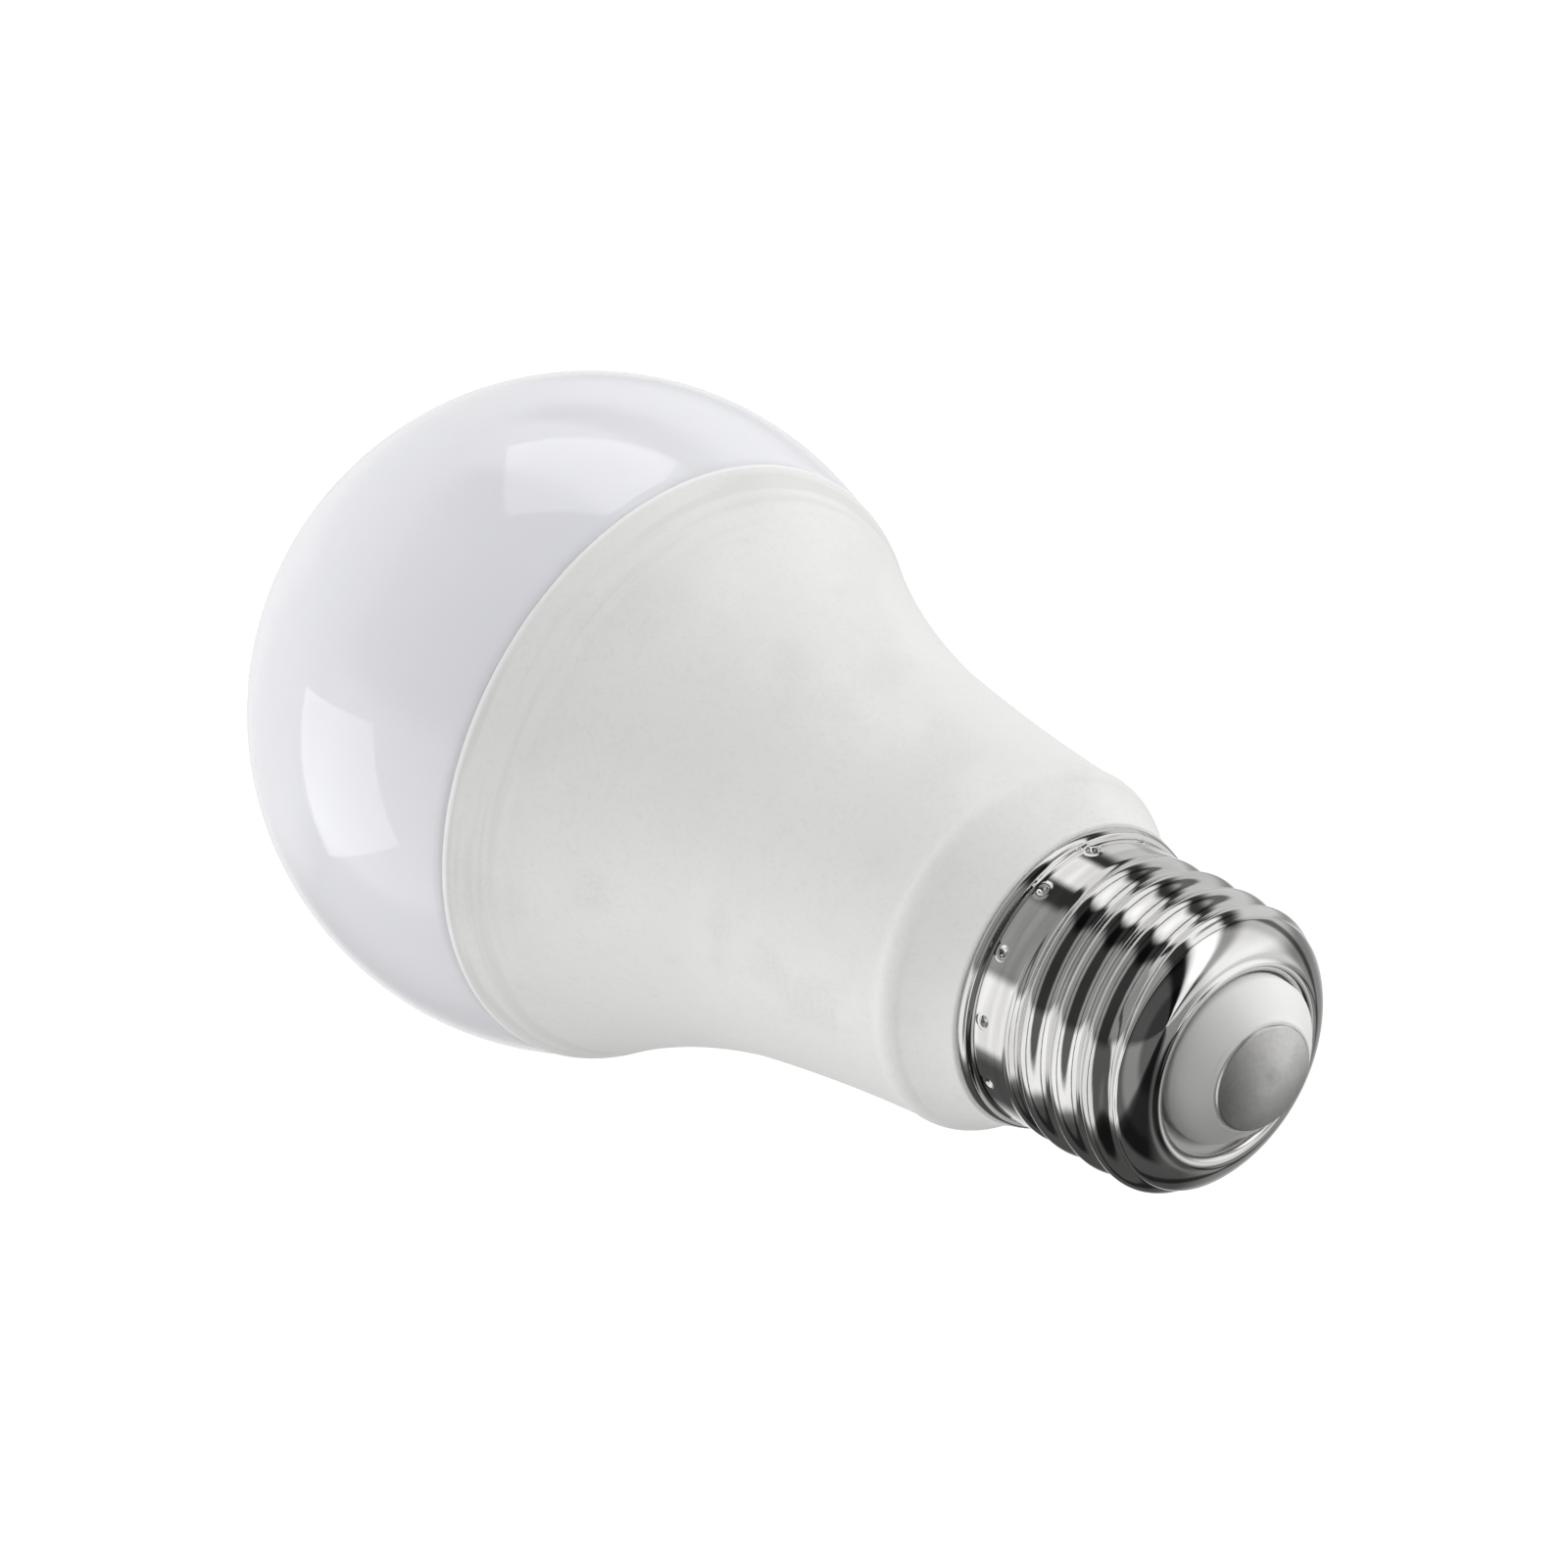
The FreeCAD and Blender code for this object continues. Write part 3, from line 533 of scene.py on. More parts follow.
# %% Plated cap
def plated_cap():
    finish = Finish("plated_cap", (0.78, 0.775, 0.765), 0.06, metallic=1.0)
    lines = finish.group(TURNED_LINES, Lines_per_mm=7.0)
    marks = finish.group(HAIR_SCRATCHES, Amount=0.6, Size=1.6)
    finish.rough(lines("Streaks") * 0.06 + 0.015 + marks("Mask") * 0.15)
    finish.tint(lines("Streaks"), (0.60, 0.595, 0.58), 0.3, 0.7)
    finish.bump(lines("Height"), 0.000006, 0.4)
    return finish.material


make(plated_cap)

# %% [markdown]
# ## Satin metal
# The contact is the same metal with a softer polish, so it shows one soft sheen and no picture of
# the room. The difference is roughness, about 0.3 here.

# %% Satin contact
def plated_contact():
    finish = Finish("plated_contact", (0.74, 0.735, 0.72), 0.32, metallic=1.0)
    grain = finish.group(MOULDED_GRAIN, Grains_per_mm=2.2)
    marks = finish.group(HAIR_SCRATCHES, Amount=0.8, Size=2.4)
    finish.rough(grain("Unevenness") * 0.1 + 0.3 + marks("Mask") * 0.2)
    finish.tint(grain("Height"), (0.67, 0.665, 0.65), 0.4, 0.7)
    finish.bump(grain("Height") - marks("Mask"), 0.000012, 0.5)
    return finish.material


make(plated_contact)

# %% [markdown]
# ## Satin plastic
# The insulator is a hard white plastic, smoother than the housing, with hardly any grain.

# %% Satin insulator
def insulator_white():
    finish = Finish("insulator_white", (0.80, 0.80, 0.79), 0.36, ior=1.5)
    grain = finish.group(MOULDED_GRAIN, Grains_per_mm=3.0)
    finish.tint(grain("Unevenness"), (0.77, 0.77, 0.755))
    finish.rough(grain("Unevenness") * 0.08 + 0.32)
    finish.bump(grain("Height"), 0.00002, 0.4)
    return finish.material


make(insulator_white)

# %% [markdown]
# ## The milky dome
# The dome is a moulded hollow sphere whose skirt snaps into the housing. A UV sphere with its end
# cut off would do for the outside, but the real piece has a wall and a skirt, so its whole section
# is drawn once and turned.

# %% Turn the dome
AROUND = 256
DOME_WALL = 1.2
SKIRT_RADIUS = box_mm("outer_housing")[1].x - 2.65
SKIRT_END = SEAM + 2.94


def dome_outline():
    inner = DOME_RADIUS - DOME_WALL
    shelf = SEAM - DOME_WALL
    shelf_radius = math.sqrt(inner ** 2 - (shelf - DOME_CENTRE) ** 2)
    return [
        *arc((0, APEX), (DOME_RADIUS, DOME_CENTRE), -DOME_RADIUS, 44),
        *arc((DOME_RADIUS, DOME_CENTRE), (SEAM_RADIUS, SEAM - 0.12), -DOME_RADIUS, 14),
        *line((SEAM_RADIUS - 0.04, SEAM - 0.03), (SEAM_RADIUS - 0.2, SEAM)),
        *line((SEAM_RADIUS - 0.2, SEAM), (SKIRT_RADIUS, SEAM), 2),
        *line((SKIRT_RADIUS, SEAM), (SKIRT_RADIUS, SKIRT_END), 3),
        *line((SKIRT_RADIUS, SKIRT_END), (SKIRT_RADIUS - DOME_WALL, SKIRT_END), 2),
        *line((SKIRT_RADIUS - DOME_WALL, SKIRT_END), (SKIRT_RADIUS - DOME_WALL, shelf), 3),
        *line((SKIRT_RADIUS - DOME_WALL, shelf), (shelf_radius, shelf), 2),
        *arc((shelf_radius, shelf), (inner, DOME_CENTRE), inner, 8),
        *arc((inner, DOME_CENTRE), (0, APEX + DOME_WALL), inner, 24),
        (0, APEX + DOME_WALL),
    ]


dome = lathe("dome", dome_outline(), AROUND, OUTSIDE["milky_dome"])
tie(dome, "milky_dome", "diffuser_dome")
print("dome:", len(dome.data.polygons), "faces")

# %% [markdown]
# ## The housing
# The housing flares from the neck to the rim in two long arcs, and at the neck it has a shoulder
# and a short flare down to the cap. The rim stands a little proud of the dome and carries a fine
# rounded edge, which catches the light; its thin pale line is also a painted highlight in the
# finish.

# %% Turn the housing
NECK = 11.7
CONE_END = (18.85, -27.0)
CONE_BEND = 65.4
WAIST_BEND = 186.0
SHOULDER = (16.47, -6.9)
FLARE = (15.8, -4.6)
FLARE_END = (13.8, 0.0)
WALL = 1.7
NECK_WALL = 1.5
NECK_TOP = 15.0
NECK_FOOT = -3.0
RIM_WALL = 25.2
RIM_STEP = (23.6, -45.6)
INNER_END = (22.6, -43.5)


def housing_outline():
    rim = (RIM_RADIUS - 0.02, SEAM + 0.3)
    inside = [(x - WALL, y) for x, y in (CONE_END, SHOULDER)]
    bore = NECK - NECK_WALL
    return [
        *arc((RIM_RADIUS - 0.25, SEAM), rim, -0.3, 4),
        *arc(rim, CONE_END, CONE_BEND, 60),
        *arc(CONE_END, SHOULDER, WAIST_BEND, 30),
        *arc(SHOULDER, FLARE, -2.2, 14),
        *arc(FLARE, FLARE_END, 16.4, 18),
        *line(FLARE_END, (NECK, 0.0), 3),
        *line((NECK, 0.0), (NECK, NECK_TOP), 3),
        *line((NECK, NECK_TOP), (bore, NECK_TOP)),
        *line((bore, NECK_TOP), (bore, NECK_FOOT), 3),
        *line((bore, NECK_FOOT), inside[1], 3),
        *arc(inside[1], inside[0], -WAIST_BEND, 10),
        *arc(inside[0], INNER_END, -CONE_BEND, 12),
        *line(INNER_END, (RIM_STEP[0], INNER_END[1])),
        *line((RIM_STEP[0], INNER_END[1]), RIM_STEP),
        *line(RIM_STEP, (RIM_WALL, RIM_STEP[1])),
        *line((RIM_WALL, RIM_STEP[1]), (RIM_WALL, SEAM)),
        *line((RIM_WALL, SEAM), (RIM_RADIUS - 0.25, SEAM), 2),
    ]


housing = lathe("housing", housing_outline(), AROUND, OUTSIDE["housing_white"])
tie(housing, "housing_white", "outer_housing")
print("housing:", len(housing.data.polygons), "faces")

# %% [markdown]
# ## The screw cap, first as a blank
# The real cap is drawn from thin sheet and then rolled. The blank is the cap before rolling, so it
# has plain walls. It gets many narrow rows of faces where the thread and the dimples will be, and
# few elsewhere.

# %% Turn the blank
CREST = 13.17
BAND = 12.9
CAP_FLANGE = 13.65
ROLL = (12.42, 17.3)
CAP_AROUND = 500


def cap_blank():
    lip = (9.15, LIP)
    return [
        *arc((CAP_FLANGE - 0.2, 0.0), (CAP_FLANGE - 0.15, 0.95), -0.75, 8),
        *arc((CAP_FLANGE - 0.15, 0.95), (CAP_FLANGE - 0.4, 1.12), -0.2, 4),
        *line((CAP_FLANGE - 0.4, 1.12), (BAND + 0.08, 1.16), 2),
        *arc((BAND + 0.08, 1.16), (BAND, 1.3), 0.12, 4),
        *line((BAND, 1.3), (BAND, 4.9), 38),
        *line((BAND, 4.9), (CREST, 6.6), 14),
        *line((CREST, 6.6), (CREST, 15.6), 72),
        *[(CREST - (CREST - ROLL[0]) * (0.5 - 0.5 * math.cos(math.pi * i / 8)), 15.6 + 1.7 * i / 8)
          for i in range(8)],
        *arc(ROLL, (9.85, 19.2), -6.0, 14),
        *arc((9.85, 19.2), lip, 2.0, 5),
        *arc(lip, (8.35, 19.1), -0.75, 6),
        *line((8.35, 19.1), (8.35, 18.8)),
        *line((8.35, 18.8), (9.2, 19.0)),
        *arc((9.2, 19.0), (ROLL[0] - 0.7, 17.0), 5.6, 6),
        *line((ROLL[0] - 0.7, 17.0), (11.85, 16.4)),
        *line((11.85, 16.4), (11.85, 6.0), 4),
        *line((11.85, 6.0), (11.85, 0.0), 3),
    ]


blank = lathe("screw_cap", cap_blank(), CAP_AROUND, OUTSIDE["plated_cap"])
print("blank:", len(blank.data.polygons), "faces")

# %% [markdown]
# ## The thread as a formula
# A right-hand screw climbs one pitch in one turn, so the phase of the thread is height over pitch
# less the turn. A cosine of that phase swings between crest and groove. A Screw modifier could
# sweep a profile instead, but it would leave the ends of the thread square; here a fade on the
# height runs it out softly, as a roller does.

# %% Thread formula
PITCH = 3.629
FRONT_CREST = 6.75
THREAD_DEPTH = 0.92
THREAD_START = (5.0, 6.3)
THREAD_END = (16.3, 17.3)


def rolled_thread(level, turn, given):
    """How far the roller pushed the sheet in. The crest passes the front, three quarters of a
    turn round, at the given level."""
    phase = (level - given["Crest Level"]) / given["Pitch"] - turn - 0.25
    groove = (phase * (2 * math.pi)).math("COSINE") * -0.5 + 0.5
    fade = level.ramp(*THREAD_START) * level.ramp(*THREAD_END, 1.0, 0.0)
    return groove * given["Thread Depth"] * fade


print("thread pitch", PITCH, "mm, depth", THREAD_DEPTH, "mm")

# %% [markdown]
# ## The dimples as a formula
# A ring of punch marks fastens the cap to the neck. Folding the turn into one spacing makes every
# dimple the same one, so a single crater formula serves them all: deep in the middle, with a soft
# raised edge round it, as a punch leaves it.

# %% Dimple formula
DIMPLES = 13
DIMPLE_TURN = 274.3
DIMPLE_LEVEL = 2.22
DIMPLE_RADIUS = 0.62
DIMPLE_DEPTH = 0.34
RAISED_EDGE = 0.05


def punched_dimples(level, turn, given):
    """How far the punch pushed the sheet in, measured from the middle of the nearest dimple."""
    folded = (turn * 360 - given["Dimple Turn"]) * given["Dimples"] / 360
    aside = (folded.math("FRACT") + 1.5).math("FRACT") - 0.5
    along = aside * 360 / given["Dimples"] * (math.pi / 180) * BAND
    above = level - given["Dimple Level"]
    away = (along * along + above * above).math("SQRT") / given["Dimple Radius"]
    raised = away.ramp(0.7, 1.0) * away.ramp(1.0, 1.5, 1.0, 0.0) * RAISED_EDGE
    return away.ramp(0.2, 0.8, 1.0, 0.0) * given["Dimple Depth"] - raised


print(DIMPLES, "dimples,", round(360 / DIMPLES, 1), "degrees apart")

# %% [markdown]
# ## The tree that rolls and punches
# One Set Position node moves each point of the blank towards the axis by both formulas together.
# Sizes are named inputs, so the same tree would roll another thread. Only the outer skin moves;
# the mouth and the inside of the cap stay as they were turned. Thread and dimples lean a little to
# one side, as rolling leaves them.

# %% Cap tree
OUTER_SKIN = 12.0
CAP_LEAN = 0.041


def make_cap_tree():
    tree, enter, leave = new_group(
        "GeometryNodeTree", "rolled_cap",
        [("Geometry", GEOMETRY, None), ("Pitch", FLOAT, PITCH),
         ("Thread Depth", FLOAT, THREAD_DEPTH), ("Crest Level", FLOAT, FRONT_CREST),
         ("Dimples", FLOAT, DIMPLES), ("Dimple Turn", FLOAT, DIMPLE_TURN),
         ("Dimple Level", FLOAT, DIMPLE_LEVEL), ("Lean", FLOAT, CAP_LEAN),
         ("Dimple Radius", FLOAT, DIMPLE_RADIUS), ("Dimple Depth", FLOAT, DIMPLE_DEPTH)],
        [("Geometry", GEOMETRY)])
    given = {socket.name: Num(tree, socket) for socket in enter.outputs[1:-1]}
    position = add(tree, "GeometryNodeInputPosition")
    x, y, z = parts_of(tree, in_mm(tree, position.outputs[0]))
    radius = (x * x + y * y).math("SQRT")
    level = z - FLANGE - x * given["Lean"]
    turn = y.math("ARCTAN2", x) / (2 * math.pi)
    outer = radius.math("GREATER_THAN", OUTER_SKIN)
    pushed = rolled_thread(level, turn, given) + punched_dimples(level, turn, given)
    shrink = (radius - pushed * outer) / radius
    moved = add(tree, "GeometryNodeSetPosition", {
        "Geometry": enter.outputs["Geometry"],
        "Position": join_place(tree, x * shrink * MM, y * shrink * MM, z * MM)})
    return finish_geometry(tree, moved.outputs[0], OUTSIDE["plated_cap"], leave)


CAP_TREE = make_cap_tree()
print("cap tree:", len(CAP_TREE.nodes), "nodes")

# %% [markdown]
# ## Run a tree once and keep the mesh
# A live modifier would be worked out again at every change. Here the result is wanted once, so the
# modifier's inputs are set first, by socket identifier, then the result is read back as a plain
# mesh and the modifier removed.

# %% Roll the cap
def grow(piece, tree, **settings):
    """Run a Geometry Nodes tree on a piece and keep the result as its plain mesh."""
    modifier = piece.modifiers.new(tree.name, "NODES")
    modifier.node_group = tree
    for item in tree.interface.items_tree:
        wanted = settings.get(item.name.replace(" ", "_"))
        if item.in_out == "INPUT" and wanted is not None:
            modifier[item.identifier] = wanted
    shapes = bpy.context.evaluated_depsgraph_get()
    mesh = bpy.data.meshes.new_from_object(piece.evaluated_get(shapes))
    piece.modifiers.remove(modifier)
    piece.data = mesh
    return piece


cap = grow(blank, CAP_TREE)
tie(cap, "plated_cap", "screw_shell")
print("cap:", len(cap.data.polygons), "faces after rolling")

# %% [markdown]
# ## A slightly crooked seat
# Insulator and contact are pressed in by a machine and rarely sit quite true. Turning them true and
# then leaning what stands above the cap's mouth keeps the outlines simple. The points are moved
# themselves, because a finished piece has to stay unrotated.

# %% Settle what sits in the mouth
SEAT = 18.4
SEAT_PIVOT = 19.9
SEAT_LEAN = (math.radians(4.5), math.radians(5.0))
SEAT_SHIFT = Vector((-0.42, -0.35, -0.15))


def settle(piece):
    """Lean and shift what stands above the seat in the cap's mouth."""
    pivot = Vector((0, 0, (FLANGE + SEAT_PIVOT) * MM))
    lean = Matrix.Rotation(SEAT_LEAN[0], 4, "X") @ Matrix.Rotation(SEAT_LEAN[1], 4, "Y")
    place = Matrix.Translation(pivot + SEAT_SHIFT * MM) @ lean @ Matrix.Translation(-pivot)
    for vertex in piece.data.vertices:
        if vertex.co.z > (FLANGE + SEAT) * MM:
            vertex.co = place @ vertex.co


print("seat leans by", [round(math.degrees(lean), 1) for lean in SEAT_LEAN], "degrees")

# %% [markdown]
# ## The insulator
# The white insulator is a cone with a rounded foot that sits in the mouth of the cap. It is turned
# like the rest. The small roundings matter more than the big shapes here, because a sharp edge
# catches no light.

# %% Turn the insulator
CONTACT_RADIUS = box_mm("centre_contact")[1].x
TIP = -FLANGE
CONTACT_THICK = 1.0
PIN_HOLE = 1.05
FOOT = (10.0, 16.3)
CONE_RADIUS = 7.66


def insulator_outline():
    top = TIP - CONTACT_THICK
    return [
        *line((PIN_HOLE, FOOT[1]), FOOT, 2),
        *line(FOOT, (FOOT[0], 18.3)),
        *line((FOOT[0], 18.3), (CONE_RADIUS, 18.3), 2),
        *line((CONE_RADIUS, 18.3), (CONE_RADIUS, 19.9), 4),
        *arc((CONE_RADIUS, 19.9), (7.4, 20.35), -0.9, 4),
        *arc((7.4, 20.35), (5.35, 22.6), -14.0, 16),
        *arc((5.35, 22.6), (5.0, top), -0.5, 5),
        *line((5.0, top), (PIN_HOLE, top), 3),
        *line((PIN_HOLE, top), (PIN_HOLE, FOOT[1]), 2),
    ]


insulator = lathe("insulator", insulator_outline(), AROUND, OUTSIDE["insulator_white"])
settle(insulator)
tie(insulator, "insulator_white", "base_insulator")
print("insulator:", len(insulator.data.polygons), "faces")

# %% [markdown]
# ## The contact
# The contact is a thin nail: a domed head on the insulator and a pin through it. The head has a
# tight rounded rim, which draws the thin bright line round it.

# %% Turn the contact
def contact_outline():
    under = TIP - CONTACT_THICK
    rim = CONTACT_RADIUS
    return [
        *line((0, under - 8.0), (1.0, under - 8.0)),
        *line((1.0, under - 8.0), (1.0, under), 3),
        *line((1.0, under), (rim - 0.08, under), 3),
        *arc((rim - 0.08, under), (rim, under + 0.1), -0.1, 3),
        *arc((rim, under + 0.1), (rim - 0.22, under + 0.34), -0.26, 6),
        *arc((rim - 0.22, under + 0.34), (1.2, TIP), -18.0, 16),
        *line((1.2, TIP), (0, TIP), 2),
        (0, TIP),
    ]


contact = lathe("contact", contact_outline(), AROUND, OUTSIDE["plated_contact"])
settle(contact)
tie(contact, "plated_contact", "centre_contact")
print("contact:", len(contact.data.polygons), "faces")

# %% [markdown]
# ## Inside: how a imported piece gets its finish
# The sealed pieces keep the engineering shapes, which are right already, so only their material
# slots change. A small call does that. Blender keeps the mesh and its place untouched, and the
# slot takes any number of shader nodes.

# %% Helper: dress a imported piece
def dress(material, *names):
    """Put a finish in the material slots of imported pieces."""
    for name in names:
        for slot in nodes[name].material_slots:
            slot.material = material
    print(material.name, "on", *names)


def ends_mm(name):
    """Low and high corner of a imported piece, centre of its box, in millimetres."""
    low, high = box_mm(name)
    return low, high, (low + high) / 2

# %% [markdown]
# ## Group: copper under solder mask
# A lamp's boards carry broad copper areas parted by thin gaps, and the mask over them shows both:
# a shade lighter over copper, a fine step at each gap. Cells of a Voronoi texture, measured to
# their edges, give such areas. The cut edge of a board is bare laminate, and the piece's own normal
# tells where that is.

# %% Group: copper pours
def make_copper_pours():
    group, enter, leave = new_group(
        "ShaderNodeTree", "copper_pours",
        [("Areas per mm", FLOAT, 0.22), ("Gap", FLOAT, 0.05), ("Across", VECTOR, (0, 1, 0))],
        [("Copper", FLOAT), ("Joints", FLOAT), ("Edge", FLOAT)])
    place = object_place(group)
    areas = add(group, "ShaderNodeTexVoronoi", {"Vector": place, "Randomness": 0.75,
                                                "Scale": enter.outputs["Areas per mm"]},
                feature="DISTANCE_TO_EDGE")
    gap = Num(group, enter.outputs["Gap"])
    copper = Num(group, areas.outputs["Distance"]).ramp(gap * 0.7, gap * 1.3)
    group.links.new(copper.socket, leave.inputs["Copper"])
    dots = add(group, "ShaderNodeTexVoronoi", {"Vector": place, "Scale": 0.42, "Randomness": 0.6})
    joints = Num(group, dots.outputs["Distance"]).ramp(0.16, 0.2, 1.0, 0.0)
    group.links.new(joints.socket, leave.inputs["Joints"])
    surface = add(group, "ShaderNodeTexCoord")
    lean = add(group, "ShaderNodeVectorMath", {0: surface.outputs["Normal"],
                                               1: enter.outputs["Across"]}, operation="DOT_PRODUCT")
    edge = Num(group, lean.outputs["Value"]).math("ABSOLUTE").ramp(0.4, 0.6, 1.0, 0.0)
    group.links.new(edge.socket, leave.inputs["Edge"])
    return group


COPPER_POURS = make_copper_pours()
print("group:", COPPER_POURS.name)

# %% [markdown]
# ## Boards
# Driver board, wireless board and LED board share that group. Green and black mask show their
# copper plainly, white mask hides it almost, and solder joints stand out as small bright spots.

# %% The three boards
def board(name, mask, over_copper, laminate, across, areas, joints=1.0):
    finish = Finish(name, mask, 0.3, ior=1.5)
    copper = finish.group(COPPER_POURS, Areas_per_mm=areas, Gap=0.03, Across=across)
    grain = finish.group(MOULDED_GRAIN, Grains_per_mm=8.0)
    finish.tint(copper("Copper"), over_copper)
    finish.tint(copper("Joints") * joints, (0.68, 0.68, 0.66))
    finish.tint(copper("Edge"), laminate)
    finish.link("Metallic", copper("Joints") * (1 - copper("Edge")) * joints)
    finish.rough(grain("Unevenness") * 0.1 + 0.24 + copper("Edge") * 0.4)
    finish.bump(copper("Copper") + copper("Joints") * 3.0 + grain("Height") * 0.2, 0.00004)
    return finish.material


dress(board("board_green", (0.012, 0.11, 0.045), (0.03, 0.24, 0.09), (0.55, 0.5, 0.26),
            (0, 1, 0), 0.2), "driver_board")
dress(board("board_black", (0.012, 0.012, 0.015), (0.03, 0.03, 0.036), (0.18, 0.15, 0.1),
            (0, 1, 0), 0.35), "radio_board")
dress(board("board_white", (0.78, 0.78, 0.765), (0.84, 0.84, 0.825), (0.7, 0.71, 0.72),
            (0, 0, 1), 0.12, 0.0), "led_board")

# %% [markdown]
# ## Heat path
# The LEDs' heat goes through a soft grey pad into a cup pressed from aluminium sheet, which hands
# it to the housing. Pressing leaves faint rings and a few scuffs on the cup, so it takes the lines
# round the axis and the hair scratches.

# %% Pressed aluminium
def pressed_aluminium():
    finish = Finish("pressed_aluminium", (0.76, 0.765, 0.775), 0.34, metallic=1.0)
    lines = finish.group(TURNED_LINES, Lines_per_mm=3.0)
    marks = finish.group(HAIR_SCRATCHES, Amount=1.0, Size=0.9)
    finish.tint(lines("Streaks"), (0.66, 0.665, 0.68), 0.3, 0.8)
    finish.rough(lines("Streaks") * 0.16 + 0.26 + marks("Mask") * 0.2)
    finish.bump(lines("Height") - marks("Mask"), 0.00002, 0.6)
    return finish.material


dress(pressed_aluminium(), "heat_sink_cup")

# %% [markdown]
# ## The gap pad
# The pad is silicone filled with ceramic powder, dull and a little speckled. It carries the weave
# of the liner that it was rolled on, which two crossed waves give.

# %% Gap pad
def gap_pad_grey():
    finish = Finish("gap_pad_grey", (0.21, 0.225, 0.25), 0.75)
    radius, level, x, y = axis_place(finish.tree)
    grain = finish.group(MOULDED_GRAIN, Grains_per_mm=4.0)
    threads = (2 * math.pi) / 0.8
    weave = (x * threads).math("SINE") * (y * threads).math("SINE")
    finish.tint(grain("Height"), (0.29, 0.305, 0.33), 0.45, 0.65)
    finish.rough(weave * 0.06 + 0.74)
    finish.bump(weave * 0.5 + grain("Height"), 0.00004, 0.6)
    return finish.material


dress(gap_pad_grey(), "thermal_pad")

# %% [markdown]
# ## The adhesive ring
# A bead of clear silicone holds the dome. It is not quite even, because it was laid by a nozzle
# and pressed flat by the dome, so its relief is slow and soft.

# %% Clear silicone
def clear_silicone():
    finish = Finish("clear_silicone", (0.83, 0.84, 0.85), 0.32, ior=1.41, transmission_weight=0.55)
    grain = finish.group(MOULDED_GRAIN, Grains_per_mm=0.5)
    finish.tint(grain("Unevenness"), (0.78, 0.8, 0.82))
    finish.rough(grain("Unevenness") * 0.14 + 0.26)
    finish.bump(grain("Height"), 0.0003, 0.7)
    return finish.material


dress(clear_silicone(), "dome_adhesive_ring")

# %% [markdown]
# ## The LEDs
# An LED here is a white moulded tray with a round dish of phosphor, and a colour LED is the same
# tray with a clear lens over three dies. One tray is built as rings of points that go from nearly
# square at the foot to round at the dish; a Geometry Nodes tree then sets it round the board. The
# dish is marked by an attribute on its faces, so one material can tell tray from phosphor.

# %% One LED package
PACKAGE_POINTS = 32
SQUARE, ROUND = 8.0, 2.0


def ring_of(half_x, half_y, squareness, height):
    """Points on a rounded rectangle; squareness 2 is an ellipse and 8 nearly a rectangle."""
    points = []
    for i in range(PACKAGE_POINTS):
        turn = 2 * math.pi * i / PACKAGE_POINTS
        reach = (abs(math.cos(turn) / half_x) ** squareness
                 + abs(math.sin(turn) / half_y) ** squareness) ** (-1 / squareness)
        points.append((reach * math.cos(turn) * MM, reach * math.sin(turn) * MM, height * MM))
    return points


def led_package(name, rings, dish_from, material):
    """Stack rings (half x, half y, squareness, height) upwards and mark the dish's faces."""
    points = [point for ring in rings for point in ring_of(*ring)]
    foot, top = len(points), len(points) + 1
    points += [(0, 0, rings[0][3] * MM), (0, 0, rings[-1][3] * MM)]
    faces = []
    n = PACKAGE_POINTS
    for row in range(len(rings) - 1):
        faces += [(row * n + i, row * n + (i + 1) % n, row * n + n + (i + 1) % n, row * n + n + i)
                  for i in range(n)]
    last = (len(rings) - 1) * n
    faces += [(foot, (i + 1) % n, i) for i in range(n)]
    faces += [(top, last + i, last + (i + 1) % n) for i in range(n)]
    piece = mesh_piece(name, points, faces, material)
    mark = piece.data.attributes.new("dish", "FLOAT", "FACE")
    mark.data.foreach_set("value", [1.0 if i >= dish_from * n and not
                                    (len(rings) - 1) * n <= i < len(rings) * n else 0.0
                                    for i in range(len(faces))])
    return piece


print("package ready:", PACKAGE_POINTS, "points a ring")

# %% [markdown]
# ## Finish of the LEDs
# Phosphor is a matte yellow powder in resin, warmer on the warm-white LEDs. The colour LEDs show
# red, green and blue dies under their lens. Both read the dish attribute.

# %% LED finishes
def led_finish(name, inside, speckle, roughness):
    finish = Finish(name, (0.84, 0.84, 0.82), 0.35)
    marked = finish.tree.nodes.new("ShaderNodeAttribute")
    marked.attribute_name = "dish"
    dish = Num(finish.tree, marked.outputs["Fac"])
    grain = finish.group(MOULDED_GRAIN, Grains_per_mm=12.0)
    finish.tint(dish, inside, 0.4, 0.6)
    finish.tint(dish * grain("Height"), speckle, 0.45, 0.7)
    finish.rough(dish * (roughness - 0.35) + 0.35 + grain("Height") * 0.1)
    finish.bump(grain("Height"), 0.00001, 0.5)
    return finish.material


LED_FINISH = {
    "phosphor_cool": led_finish("phosphor_cool", (0.86, 0.72, 0.16), (0.92, 0.82, 0.3), 0.5),
    "phosphor_warm": led_finish("phosphor_warm", (0.85, 0.42, 0.06), (0.92, 0.55, 0.14), 0.5),
    "led_clear_lens": led_finish("led_clear_lens", (0.6, 0.63, 0.64), (0.3, 0.36, 0.42), 0.08),
}
print("LED finishes:", list(LED_FINISH))

# %% [markdown]
# ## Set the LEDs round the board
# The tree makes one point for each LED, on a circle, turns each package to face outwards and
# realizes the copies, so that they export as plain mesh. Count, circle and first turn are inputs,
# and the same tree serves all three rings.

